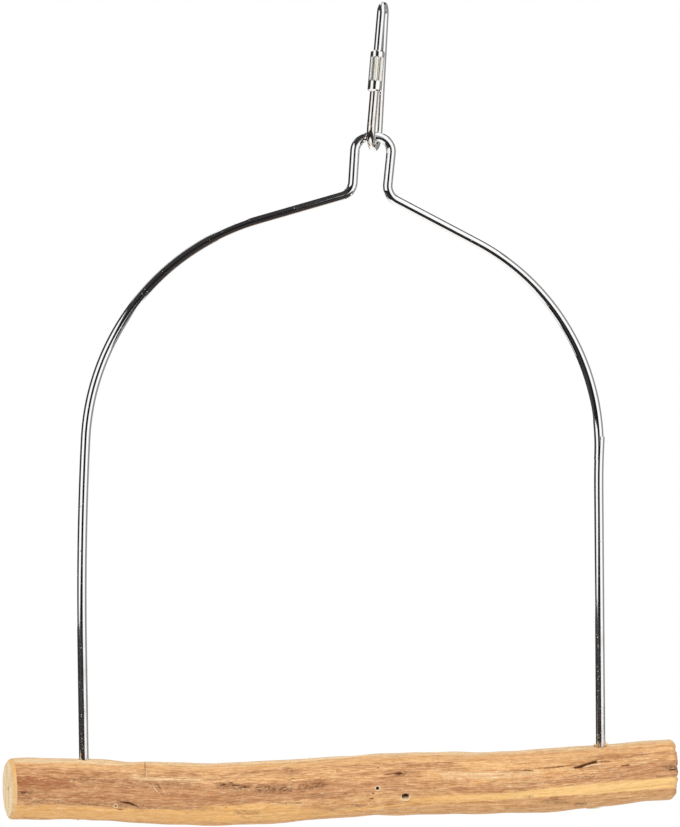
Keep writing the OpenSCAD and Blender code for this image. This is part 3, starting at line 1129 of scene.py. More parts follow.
@dataclass
class SleeveNut:
    """The sleeve nut that closes the link: two plain bands with a straight knurl between them."""

    plane: LinkPlane
    from_top: float = 14.4 * MM
    length: float = 15 * MM
    radius: float = 2.6 * MM
    bore_radius: float = 1.68 * MM
    bottom_band: float = 3.5 * MM
    knurl: float = 9.3 * MM
    ridges: int = 20
    ridge_depth: float = 0.18 * MM
    ridge_roundness: float = 1.4
    chamfer: float = 0.45 * MM
    bore_chamfer: float = 0.25 * MM
    groove_run: float = 0.5 * MM
    rim: float = 0.06 * MM
    wear_fade: float = 0.2 * MM
    ridge_wear: float = 0.35
    valley_wear: float = 0.65
    sides_per_ridge: int = 12
    plate: Plate = Plate("sleeve_plate", (1.0, 0.99, 0.965, 1.0), (0.95, 0.89, 0.70, 1.0), roughness=0.08)

    def knurled(self, height: Array, fade: float) -> Array:
        """1 at heights in the knurl and 0 in the plain bands, with a fade at each of its ends."""
        top = self.bottom_band + self.knurl
        return smooth(height, self.bottom_band, self.bottom_band + fade) * smooth(height, top, top - fade)

    def outer_heights(self) -> Array:
        """Heights of the outer rings.

        Returns:
            Heights above the sleeve's lower end, close together at the rims and at the knurl's ends.
        """
        low, top = self.bottom_band, self.bottom_band + self.knurl
        run = np.linspace(0, self.groove_run, 6)
        grooves = np.linspace(low + self.groove_run, top - self.groove_run, 14)[1:-1]
        return np.concatenate([
            np.linspace(0, self.chamfer, 4), [low - self.rim], low + run, grooves,
            top - run[::-1], [top + self.rim], self.length - np.linspace(self.chamfer, 0, 4),
        ])

    def rings(self) -> tuple[Array, Array]:
        """Rings of the closed sleeve, up its outside and down its bore.

        Returns:
            Height of each ring above the sleeve's lower end, and its radius at each side.
        """
        outer = self.outer_heights()
        bevel = np.maximum(0, self.chamfer - np.minimum(outer, self.length - outer))
        round_place = np.arange(self.ridges * self.sides_per_ridge) / self.sides_per_ridge % 1
        valley = np.abs(2 * round_place - 1) ** self.ridge_roundness
        grooves = self.ridge_depth * self.knurled(outer, self.groove_run)
        outside = self.radius - bevel[:, None] - grooves[:, None] * valley[None, :]
        inner = [self.length, self.length - self.bore_chamfer, self.bore_chamfer, 0]
        bore = self.bore_radius + np.array([self.bore_chamfer, 0, 0, self.bore_chamfer])
        inside = np.repeat(bore[:, None], len(round_place), axis=1)
        return np.concatenate([outer, inner, outer[:1]]), np.concatenate([outside, inside, outside[:1]])

    def build(self, plate_wear: EffectGroup) -> Object:
        """Builds and dresses the sleeve.

        Args:
            plate_wear: The group of plate wear.

        Returns:
            The sleeve, which stands for its CAD node.
        """
        heights, radii = self.rings()
        down = self.plane.front_down
        middles = self.plane.front_place(self.from_top + self.length) - heights[:, None] * down
        points = swept(middles, np.array([[-down[1], down[0]]]), radii, self.plane.placing())
        knurled = self.knurled(heights, self.wear_fade)[:, None]
        valley = np.clip((self.radius - radii) / self.ridge_depth, 0, 1)
        worn = self.ridge_wear * knurled + self.valley_wear * knurled * valley
        faces = [face[::-1] for face in ring_faces(*radii.shape)]
        attributes = {STRAIGHT: straightened(heights, radii), "worn": worn.ravel()}
        mesh = Mesh("knurled_sleeve", points, faces, attributes)
        sleeve = mesh.build([self.plate.material(plate_wear)], sharp=28.0)
        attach(sleeve, "sleeve")
        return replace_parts(sleeve, "sleeve_nut")


@dataclass(frozen=True)
class Mark:
    """A tapered streak or spot on the branch, in millimetres.

    A place is (distance from the left cut, height above the middle line) for a mark on the front, as seen
    from there, and (distance from the left cut, distance round the skin above its front line) for one round
    the back. A mark with one place is a spot.
    """

    places: tuple[Pair, ...]
    widths: tuple[float, ...]
    depth: float
    strength: float


def mark(*places: Pair, width: float | tuple[float, ...], depth: float = 0.0,
         strength: float = 1.0) -> Mark:
    """Mark through one or more places, with one width or one for each place."""
    widths = width if isinstance(width, tuple) else (width,) * len(places)
    return Mark(places, widths, depth, strength)


FRONT_MARKS: dict[Field, tuple[Mark, ...]] = {
    Field.SCRAPED: (
        mark((-2, -8.5), (18, -9.2), (41, -9.2), (62, -8.6), (76, -7.6), (90, -7.6), (104, -8.2),
             (119, -9.6), width=(7.9, 7.2, 6.8, 7.2, 8.2, 8.2, 7.4, 3), depth=0.16),
        mark((119, -9.6), (131, -8.4), (146, -7.4), (149, -6.2), (159, -5.8), (174, -5.3), (185, -5.1),
             (200, -4.1), (217, -4.6), (233, -4.8), (249, -5),
             width=(2.4, 1, 0.9, 2, 2.9, 3.1, 2.9, 3.1, 3.8, 4.1, 4.7), depth=0.14),
        mark((-2, 9.9), (1.2, 9.9), width=2.6),
    ),
    Field.BROWN: (
        mark((2, 0.6), (62, 0.1), width=9.5),
        mark((62, 0.1), (92, 0.6), (122, -0.8), width=(9.5, 9, 8), strength=0.95),
        mark((122, -0.8), (150, -2), width=(7.5, 4.5), strength=0.75),
        mark((150, -2.4), (185, -1.9), (205, -0.2), (250, 0.4), width=(2.6, 3.4, 4.4, 7.5), strength=0.8),
        mark((24, 3.6), (75, 3.4), width=3.6, strength=0.8),
        mark((3, -4.4), (75, -4.6), width=3.4, strength=0.8),
        mark((48, 7.2), (110, 6.6), (166, 6.2), width=5, strength=0.5),
        mark((123, 3.4), (148, 3.2), width=7, strength=0.6),
        mark((142, 0.3), (168, 0.6), width=3.8, strength=0.5),
        mark((212, 3.2), (242, 3.4), width=3.2, strength=0.5),
        mark((126, -9.8), (250, -10.2), width=4.2, strength=0.2),
        mark((8, 7.4), (44, 7.6), (70, 7), width=1.4, strength=0.5),
        mark((3, 6.6), (44, 6), width=5, strength=0.6),
        mark((218, 6.6), (250, 6), width=3, strength=0.5),
    ),
    Field.RED: (
        mark((3, 6), (30, 5.6), width=6, strength=0.3),
        mark((3, 2.6), (21, 2.6), width=5),
        mark((21, 1.2), (24, 1.4), width=3, strength=0.7),
        mark((3, -2.6), (36, -2.2), width=6, strength=0.25),
        mark((56, -2), (86, -1.4), width=6, strength=0.25),
        mark((160, -6.4), (192, -6.4), width=3, strength=0.35),
        mark((214, 6.8), (230, 6.4), width=3.2, strength=0.4),
    ),
    Field.LIGHT: (
        # the first two marks paint a highlight along the top edge; the others are paler marks
        mark((-2, 11.2), (120, 11.2), (250, 11.2), width=5, strength=0.75),
        mark((-2, 10.3), (34, 10.2), (50, 10.6), width=(3.2, 3, 1.6), strength=0.85),
        mark((46, 5.4), (75, 5.2), width=2.2, strength=0.25),
        mark((160, 3), (195, 2.8), width=3, strength=0.3),
        mark((247.2, 9.4), (248.6, 6), (248.8, 1.6), width=1.3, strength=0.9),
    ),
    # painted shade: cracks and holes are painted dark for the shade inside them
    Field.CRACK: (
        mark((22.5, 3.6), (27.4, 4), width=(0.25, 0.2), depth=0.2),
        mark((32.6, 3.3), (35.5, 3.1), (39, 3), width=(0.1, 0.3, 0.1), depth=0.2),
        mark((39.8, -5.6), width=0.75, depth=0.8),
        mark((41.2, -4.1), (44.4, -4.3), (48.5, -5.6), width=(0.3, 1, 0.25), depth=0.5),
        mark((40.8, -6.9), (42.2, -7), width=0.4, depth=0.3),
        mark((23, 2.7), (23, 0.7), width=0.3, depth=0.15),
        mark((5.2, -1.6), (7.2, -1.5), width=0.5, depth=0.2),
        mark((50.4, 10.9), (50.5, 6.4), width=(0.3, 0.12), depth=0.3),
        mark((54.6, 3.4), (56.5, 0.9), width=(0.35, 0.15), depth=0.3),
        mark((62.2, 0.7), width=0.75, depth=0.5),
        mark((77.9, 3.3), (79.4, 3.4), width=0.45, depth=0.25),
        mark((81, 4.1), (82.4, 4), width=0.45, depth=0.25),
        mark((82.2, 3.1), (84.6, 2.9), width=0.5, depth=0.25),
        mark((86, 2.4), (87.4, 2.2), width=0.4, depth=0.25),
        mark((80.1, -2.9), (86.3, -3.1), width=0.25, depth=0.1),
        mark((96.5, -3.8), (107.6, -4.6), width=(0.2, 0.42), depth=0.15),
        mark((114.5, -5.7), (117.8, -6), width=0.3, depth=0.1),
        mark((80, -5), width=0.5, depth=0.2),
        mark((103.3, 4.5), (104.8, 4.4), width=0.4, depth=0.1),
        mark((117.8, 5.1), (118.9, 6.9), width=0.3, depth=0.1),
        mark((129.5, 3.6), width=0.45, depth=0.2),
        mark((133.3, -3), (134.2, -3.1), width=0.5, depth=0.2),
        mark((132.6, -5), (133.9, -5), width=0.55, depth=0.2),
        mark((135.7, 6.6), width=0.6, depth=0.3),
        mark((137.7, 3.7), (141.8, 3.9), (143.3, 3.8), (144.9, 3.9), width=(0.2, 0.4, 1, 0.2), depth=0.4),
        mark((135.5, -1.3), width=1.15, depth=2.4),
        mark((145.4, -4.7), (146.1, -4.7), width=2, depth=2.8),
        mark((156.9, 7.6), (163.6, 7.5), width=0.3, depth=0.15),
        mark((182.8, 4.1), width=0.5, depth=0.2),
        mark((182.4, 4.1), (188, 4.2), (193.3, 4), width=(0.15, 0.3, 0.4), depth=0.25),
        mark((194.8, 4.7), (201, 4.6), (207.9, 5), width=(0.25, 0.4, 0.3), depth=0.25),
        mark((208.7, 3.9), (211, 4.2), (213.4, 5), (216.6, 5.4), width=(0.5, 1.25, 0.7, 1.15),
             depth=0.9),
        mark((218.7, 5.3), (221.7, 5), width=0.35, depth=0.15),
        mark((209.4, 0.6), (216.1, 0), width=0.25, depth=0.15),
        mark((191, 0.1), width=0.55, depth=0.3),
        mark((226.4, 3), (229.4, 3.2), width=0.45, depth=0.3),
        mark((244.2, -0.2), (246.6, 0), width=0.5, depth=0.4),
    ),
    Field.PALE: (
        mark((39.8, -5.6), width=1.7),
        mark((135.5, -1.3), width=2.1),
        mark((145.4, -4.9), (146.2, -4.9), width=2.7),
        mark((6.9, -8.1), (11.3, -6.5), width=0.45),
        mark((46.5, 4.5), (61.5, 5.1), (70.6, 5.6), width=(0.2, 0.4, 0.15)),
        mark((52.6, 4.3), (54.2, 1.2), (56.7, -1.5), width=(0.1, 0.3, 0.15), depth=0.12),
        mark((55.5, 4.2), (56.9, 1.8), (58.4, -1.4), width=(0.1, 0.25, 0.1), depth=0.12),
        mark((50.9, 8.6), (50.9, 5), width=0.18),
        mark((132, -6.4), (132.6, -8.4), width=0.45),
        mark((155.2, 4.6), (155.4, 0.6), width=0.3),
        mark((173.4, -0.2), (173.4, -2.8), width=0.3),
        mark((165.5, 3.7), (174, 3.5), (184.8, 3.2), width=(0.15, 0.5, 0.2)),
        mark((168, 2.2), (180, 1.9), width=(0.15, 0.4)),
        mark((205, 3.2), (218.5, 4.5), width=(0.15, 0.5)),
        mark((229, 3.4), (240, 4.4), width=(0.2, 0.35)),
        mark((119.6, 5.2), (120.2, 6.6), width=0.5),
        mark((212.9, -8.9), (213.4, -7.9), width=0.35),
    ),
    Field.STAIN_AND_SHADOW: (
        mark((28, 3.3), (70, 3.1), width=4, strength=0.4),
        # painted shadow along the upper edge of the scraped stripe
        mark((8, -4.7), (34, -5.4), (75, -5.4), width=1.6, strength=0.45),
        mark((178, -0.6), (192, -0.4), width=3, strength=0.2),
        mark((77.5, 3.2), (88, 2.2), width=3.2, strength=0.75),
        mark((91.8, 1.5), (103, 0.7), width=3),
        mark((107.5, 1), (115.5, 1.6), width=3.2, strength=0.8),
        mark((111.6, -2.4), (115, -2.7), width=1.2, strength=0.8),
        mark((101.9, 8.3), (103.9, 7.1), width=2.6, strength=0.6),
        mark((83.7, -6.6), (91.4, -7), width=2.4, strength=0.55),
        mark((126.3, -7.2), (129.6, -7.4), width=1.6, strength=0.7),
        mark((197.8, -7.3), (206, -7.9), width=2.6, strength=0.55),
        mark((199.9, -6.6), (202.3, -6.8), width=1.7),
        mark((209.4, -9.1), (212.6, -9.3), width=2, strength=0.9),
        mark((190.2, -5.4), (193.2, -5.5), width=1.2, strength=0.6),
        mark((4.2, -2.2), (8.2, -4.4), width=3.2, strength=0.45),
        mark((4, -1.4), (9, -1.4), width=1.6, strength=0.7),
        mark((142.5, 3.8), (145, 3.8), width=2.2, strength=0.7),
        mark((208, 4.6), (218, 5.2), width=2.6, strength=0.5),
        mark((41, -4.6), (50, -5.4), width=2.4, strength=0.6),
        mark((22, 3.6), (39, 3.2), width=1.6, strength=0.5),
        mark((248, 9.6), (248.3, 1), (248, -9.6), width=2, strength=0.5),
        mark((242.5, 1.2), (247.5, 0.6), width=2.2, strength=0.8),
    ),
}

BACK_MARKS: dict[Field, tuple[Mark, ...]] = {
    Field.SCRAPED: (
        mark((132, 32.5), (160, 31.5), (199, 30), (226, 30.5), width=(1, 3.4, 4.2, 1.6), depth=0.14),
        mark((16, -30.5), (48, -32), (78, -33), width=(1.2, 3.6, 1), depth=0.14),
    ),
    Field.BROWN: (
        mark((6, 28.5), (58, 27), (96, 29.5), width=(8.5, 9, 4), strength=0.85),
        mark((104, 24), (150, 22.5), (186, 25), width=(3, 6.5, 4), strength=0.7),
        mark((88, -29), (140, -31.5), (238, -29.5), width=(4, 8, 9), strength=0.85),
        mark((10, -24), (70, -22.5), width=5, strength=0.6),
    ),
    Field.RED: (
        mark((8, 31), (44, 30), width=5, strength=0.5),
        mark((196, -33), (232, -31.5), width=4.5, strength=0.5),
    ),
    Field.LIGHT: (
        mark((70, 21), (128, 19.5), width=3.5, strength=0.5),
    ),
    # painted shade in cracks and holes
    Field.CRACK: (
        mark((52, 30.6), (60, 31.2), (71, 30.9), width=(0.2, 0.7, 0.3), depth=0.5),
        mark((116, 25.6), (119, 25.2), width=1, depth=1),
        mark((164, -27.4), (176, -28.2), (184, -28), width=(0.3, 0.6, 0.3), depth=0.4),
        mark((205, 26), width=1.3, depth=2),
        mark((31, -26.2), (36, -26), width=0.6, depth=0.3),
    ),
    Field.PALE: (
        mark((205, 26), width=2.3),
        mark((83, -25.8), (96, -25.2), width=0.6),
    ),
    Field.STAIN_AND_SHADOW: (
        mark((112, 25.8), (123, 25), width=3, strength=0.7),
        mark((158, -27), (188, -28.4), width=2.6, strength=0.5),
        mark((226, 24), (234, 23.2), width=2.8, strength=0.6),
    ),
}


@dataclass
class Branch:
    """The peeled branch with its drilled holes, sawn ends and marks.

    In millimetres, eye is the camera's place across, above the middle line and in front of it, detailed
    holds (across, height, reach, mesh spacing), and waves holds (number, turns round the branch, length,
    size).
    """

    line: BranchLine
    feet: tuple[Vector, Vector]
    foot_leans: Pair
    hole_radius: float = 1.85 * MM
    hole_depth: float = 4.5 * MM
    hole_rim: float = 0.17 * MM
    chip_depth: float = 0.9 * MM
    chip_radius: float = 3.1 * MM
    left_bevel: float = 1.2 * MM
    right_round: float = 1.8 * MM
    rag_reach: float = 3.2 * MM
    rag_size: float = 0.5 * MM
    rag_turns: tuple[int, ...] = (3, 5, 9, 14, 23, 37, 58, 83)
    coarse: float = 0.8 * MM
    fine: float = 0.15 * MM
    front_gap: float = 0.27 * MM
    back_gap: float = 0.45 * MM
    hole_reach: float = 2.6 * MM
    hole_row_reach: float = 2.5 * MM
    left_rim: Pair = (1.4 * MM, 0.2 * MM)
    right_rim: Pair = (2.6 * MM, 0.22 * MM)
    face_rings: int = 26
    face_sink: float = 0.1
    seed: int = 7
    zero: float = 0.7
    eye: Triple = (-11.3, 135.6, 1266.7)
    detailed: tuple[tuple[float, float, float, float], ...] = (
        (39.8, -5.6, 0.9, 0.15), (135.5, -1.3, 1.1, 0.15), (145.8, -4.7, 1.8, 0.15), (50.5, 8.6, 0.5, 0.15),
        (55.5, 1.5, 2.8, 0.3), (212.5, 4.6, 4.5, 0.35), (83.0, 3.4, 5.0, 0.4),
    )
    soft: tuple[Field, ...] = (Field.STAIN_AND_SHADOW, Field.BROWN, Field.RED, Field.LIGHT)
    soft_from: float = -0.35
    soft_to: float = 0.6
    scrape_slope: float = 0.9
    cut_slope: float = 0.16
    waves: tuple[tuple[int, tuple[int, int], Pair, float], ...] = (
        (14, (2, 7), (14, 60), 0.045),
        (26, (16, 60), (40, 160), 0.016),
    )
    skin: PeeledSkin = PeeledSkin()
    sawn: SawnFace = SawnFace()

    @staticmethod
    def graded(total: float, spacing: Callable[[Array], Array]) -> Array:
        """Places along a length, closer together where the spacing is small.

        Args:
            total: The length.
            spacing: Function from places to the wanted spacing there.

        Returns:
            Places from 0 to the length, both included.
        """
        fine = np.linspace(0, total, 20000)
        count = np.concatenate([[0], np.cumsum(np.diff(fine) / spacing(fine[1:]))])
        return np.interp(np.linspace(0, count[-1], math.ceil(count[-1]) + 1), count, fine)

    def column_spacing(self, along: Array) -> Array:
        """Wanted spacing of the mesh along the branch.

        Args:
            along: Distance from the left cut.

        Returns:
            The spacing there, finer at the holes, the cuts and the deep marks.
        """
        near = [(foot.x - self.line.start, self.hole_reach, self.fine) for foot in self.feet]
        near += [(0, *self.left_rim), (self.line.length, *self.right_rim)]
        near += [(self.on_front(x, z)[0] * MM, reach * MM, gap * MM) for x, z, reach, gap in self.detailed]
        wanted = np.full_like(along, self.coarse)
        for middle, reach, spacing in near:
            wanted = np.where(np.abs(along - middle) < reach, np.minimum(wanted, spacing), wanted)
        return wanted

    def row_spacing(self, place: Array) -> Array:
        """Wanted spacing of the mesh round the branch.

        Args:
            place: Distance round it, from the back over the top.

        Returns:
            The spacing there, finer in front and at the holes.
        """
        radius = self.line.thickness / 2
        angle = place / radius
        front = np.abs(angle - math.pi) < math.pi / 2
        wanted = np.where(front, self.front_gap, self.back_gap)
        off_hole = np.minimum(np.abs(angle - math.pi / 2), np.abs(angle - 1.5 * math.pi))
        return np.where(off_hole < self.hole_row_reach / radius, self.fine * 1.15, wanted)

    def placed_marks(self) -> list[tuple[Field, Mark, Sequence[Pair]]]:
        """Kind, mark and places of all marks, with the height of a place counted round the skin."""
        found = [(kind, item, [self.on_front(*place) for place in item.places])
                 for kind, items in FRONT_MARKS.items() for item in items]
        return found + [(kind, item, item.places) for kind, items in BACK_MARKS.items() for item in items]

    @staticmethod
    def inside(places: Sequence[Pair], widths: Sequence[float], along: Array,
               level: Array) -> Array:
        """How far points of the skin lie inside a mark's edge.

        Args:
            places: The mark's places on the skin.
            widths: Its width at each place.
            along: Distance of the points from the left cut.
            level: Distance of the points round the skin above its front line.

        Returns:
            Distance from the edge in the unit of the arguments, below 0 outside the mark.
        """
        if len(places) == 1:
            places, widths = (*places, *places), (*widths, *widths)
        found = np.full(along.shape, -math.inf)
        for (x0, z0), (x1, z1), w0, w1 in zip(places, places[1:], widths, widths[1:], strict=False):
            run, climb = x1 - x0, z1 - z0
            square = run * run + climb * climb or 1.0
            share = np.clip(((along - x0) * run + (level - z0) * climb) / square, 0, 1)
            away = np.hypot(along - x0 - share * run, level - z0 - share * climb)
            found = np.maximum(found, (w0 + share * (w1 - w0)) / 2 - away)
        return found

    def fields(self, along: Array, level: Array) -> tuple[dict[Field, Array], Array]:
        """Spreads all marks over the skin.

        Args:
            along: Distance from the left cut, in millimetres.
            level: Distance round the skin above its front line, in millimetres.

        Returns:
            Each field, as millimetres inside the mark for edged kinds and as a share for soft ones, and the
            depth of the marks in metres.
        """
        far_outside = -4.0
        found = {kind: np.full(along.shape, 0.0 if kind in self.soft else far_outside) for kind in Field}
        depth = np.zeros(along.shape)
        for kind, item, places in self.placed_marks():
            inside = self.inside(places, item.widths, along, level)
            slope = self.scrape_slope if kind is Field.SCRAPED else self.cut_slope
            depth = np.maximum(depth, item.depth * MM * smooth(inside, -slope / 2, slope))
            if kind in self.soft:
                half = max(item.widths) / 2
                inside = item.strength * smooth(inside, self.soft_from * half, self.soft_to * half)
            found[kind] = np.maximum(found[kind], inside)
        return found, depth

    def on_front(self, across: float, height: float) -> Pair:
        """Place on the skin of a mark that was measured in the plane of the wires.

        Args:
            across: Measured distance from the left cut, in millimetres.
            height: Measured height above the middle line, in millimetres.

        Returns:
            Distance from the left cut, and distance round the skin above its front line, in millimetres.
        """
        radius = self.line.thickness / 2 / MM
        eye_x, eye_z, eye_distance = self.eye
        bulge = 0.0
        for _ in range(3):
            above = height + (eye_z - height) * bulge / eye_distance
            bulge = math.sqrt(max(0.0, radius**2 - above**2))
        level = radius * math.asin(max(-1.0, min(1.0, above / radius)))
        along = across - self.zero - (across - eye_x) * bulge / eye_distance
        return along - float(self.line.slant(np.array(along * MM), np.array(-bulge))), level

    def relief(self, along: Array, angle: Array) -> Array:
        """Gentle unevenness of the peeled skin, from seeded waves that close round the branch.

        Args:
            along: Distance from the left cut.
            angle: Angle round the branch.

        Returns:
            Height of the skin above its mean surface.
        """
        rng = np.random.default_rng(self.seed)
        height = np.zeros(along.shape)
        for count, turns, lengths, size in self.waves:
            for _ in range(count):
                place = rng.integers(*turns) * angle + math.tau * along / (rng.uniform(*lengths) * MM)
                height += size * MM * np.cos(place + rng.uniform(0, math.tau))
        return height

    def holes(self, along: Array, angle: Array) -> Array:
        """Depth of the drilled holes, sunk into the skin round each wire end.

        Args:
            along: Distance from the left cut.
            angle: Angle round the branch.

        Returns:
            Depth of the holes below the skin.
        """
        share = along / self.line.length
        radius = self.line.radius(share)
        y = self.line.sway(share) + radius * np.cos(angle)
        middle = self.line.middle(share)
        depth = np.zeros(along.shape)
        for foot, lean in zip(self.feet, self.foot_leans, strict=True):
            for side in (1, -1):
                z = middle + side * radius - foot.z
                x = self.line.start + along - foot.x - z * lean
                off = np.hypot(x, y)
                sunk = self.hole_depth * smooth(off, self.hole_radius + self.hole_rim, self.hole_radius)
                if side == 1 and foot is self.feet[1]:
                    chip = self.chip_depth * smooth(off, self.chip_radius, self.hole_radius)
                    sunk = np.maximum(sunk, chip)
                depth = np.maximum(depth, np.where(side * np.sin(angle) > 0.5, sunk, 0))
        return depth

    def end_loss(self, along: Array) -> Array:
        """Radius lost to the scraped left edge and the rounded right edge, this far from the left cut."""
        edges = (along, self.left_bevel), (self.line.length - along, self.right_round)
        return sum(np.interp(reach / edge, [0, 0.4, 1], [0.85, 0.3, 0]) * edge for reach, edge in edges)

    def ragged_ends(self, along: Array, angle: Array) -> Array:
        """Roughness of the right saw cut's rim.

        Args:
            along: Distance from the left cut.
            angle: Angle round the branch.

        Returns:
            Shift along the branch, towards the left.
        """
        rng = np.random.default_rng(self.seed + 1)
        wave = np.zeros(along.shape)
        for turns in self.rag_turns:
            wave += np.cos(turns * angle + rng.uniform(0, math.tau)) / math.sqrt(turns)
        near = smooth(along, self.line.length - self.rag_reach, self.line.length)
        return -near * self.rag_size * np.abs(wave)

    def face_ring(self, rim: Array, share: float, inward: int) -> Array:
        """Ring of a sawn face between its middle and its rim.

        Args:
            rim: Points of the rim.
            share: Place of the ring from the middle to the rim.
            inward: 1 where the branch lies on the +X side of the face, and -1 otherwise.

        Returns:
            Points of the ring, sunk a little in saw marks.
        """
        middle = rim.mean(axis=0)
        ring = middle + share * (rim - middle)
        saw = 0.05 * np.sin(ring[:, 2] / MM * 5.3) + 0.03 * np.sin(ring[:, 2] / MM * 12.1 + ring[:, 1] / MM)
        ring[:, 0] += inward * MM * (self.face_sink + saw) * min(1.0, 8 * (1 - share))
        return ring

    def attributes(self, points: Array, stations: Array,
                   fields: dict[Field, Array]) -> dict[str, Array]:
        """Attributes of every point of the branch.

        Args:
            points: All points.
            stations: Distance of each ring of the skin from the left cut.
            fields: The marks' fields on the skin.

        Returns:
            The straight attribute and one for each field.
        """
        inner = self.face_rings - 1
        sides = fields[Field.CRACK].shape[1]
        along = np.concatenate([np.zeros(inner), stations, np.full(inner, self.line.length)])
        along = np.append(np.repeat(along, sides), [0, self.line.length])
        share = along / self.line.length
        off_middle = points[:, 1] - self.line.sway(share), points[:, 2] - self.line.middle(share)
        found = {STRAIGHT: np.stack([along, *off_middle], axis=-1)}
        face = np.zeros(inner * sides)
        for kind, values in fields.items():
            found[kind.value] = np.concatenate([face, values.ravel(), face, [0, 0]])
        return found

    @staticmethod
    def fans(rings: int, sides: int) -> list[tuple[int, ...]]:
        """Triangles from the first and the last ring to the two middle points that follow the rings.

        Args:
            rings: Number of rings.
            sides: Points in each ring.

        Returns:
            The triangles, turned outwards.
        """
        middle, last = rings * sides, (rings - 1) * sides
        left = [(middle, (k + 1) % sides, k) for k in range(sides)]
        return left + [(middle + 1, last + k, last + (k + 1) % sides) for k in range(sides)]

    def build(self, grain: EffectGroup) -> Object:
        """Builds and dresses the branch.

        Args:
            grain: The group of long grain.

        Returns:
            The branch, which stands for its CAD node.
        """
        stations = self.graded(self.line.length, self.column_spacing)
        rows = self.graded(math.pi * self.line.thickness, self.row_spacing)[:-1]
        angles = rows / (self.line.thickness / 2)
        along, angle = np.meshgrid(stations, angles, indexing="ij")
        fields, depth = self.fields(along / MM, (math.pi - angle) * self.line.thickness / 2 / MM)
        body = self.line.radius(along / self.line.length) - self.end_loss(along)
        radius = body - depth - self.holes(along, angle) + self.relief(along, angle)
        skin = self.line.surface(along, angle, radius)
        skin[:, :, 0] += self.ragged_ends(along, angle)
        shares = np.linspace(0, 1, self.face_rings + 1)[1:-1]
        rings = [self.face_ring(skin[0], share, 1) for share in shares]
        rings += list(skin)
        rings += [self.face_ring(skin[-1], share, -1) for share in shares[::-1]]
        points = np.concatenate([*rings, [skin[0].mean(axis=0), skin[-1].mean(axis=0)]])
        low, high = (np.array(corner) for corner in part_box("perch"))
        points = np.clip(points, low + 0.01 * MM, high - 0.01 * MM)
        sides = len(angles)
        faces = ring_faces(len(rings), sides) + self.fans(len(rings), sides)
        sawn = np.ones(len(faces))
        bevelled = len(shares) + int(np.searchsorted(stations, self.left_bevel))
        sawn[bevelled * sides:(len(shares) + len(stations) - 1) * sides] = 0
        mesh = Mesh("peeled_branch", points, faces, self.attributes(points, stations, fields), sawn)
        branch = mesh.build([self.skin.material(grain), self.sawn.material(grain)], sharp=60.0)
        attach(branch, "swing")
        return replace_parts(branch, "perch")


@dataclass(frozen=True)
class Fibre:
    """A torn fibre or splinter that stands off the branch, in metres."""

    root: Array
    tip: Array
    bow: Array
    width: float


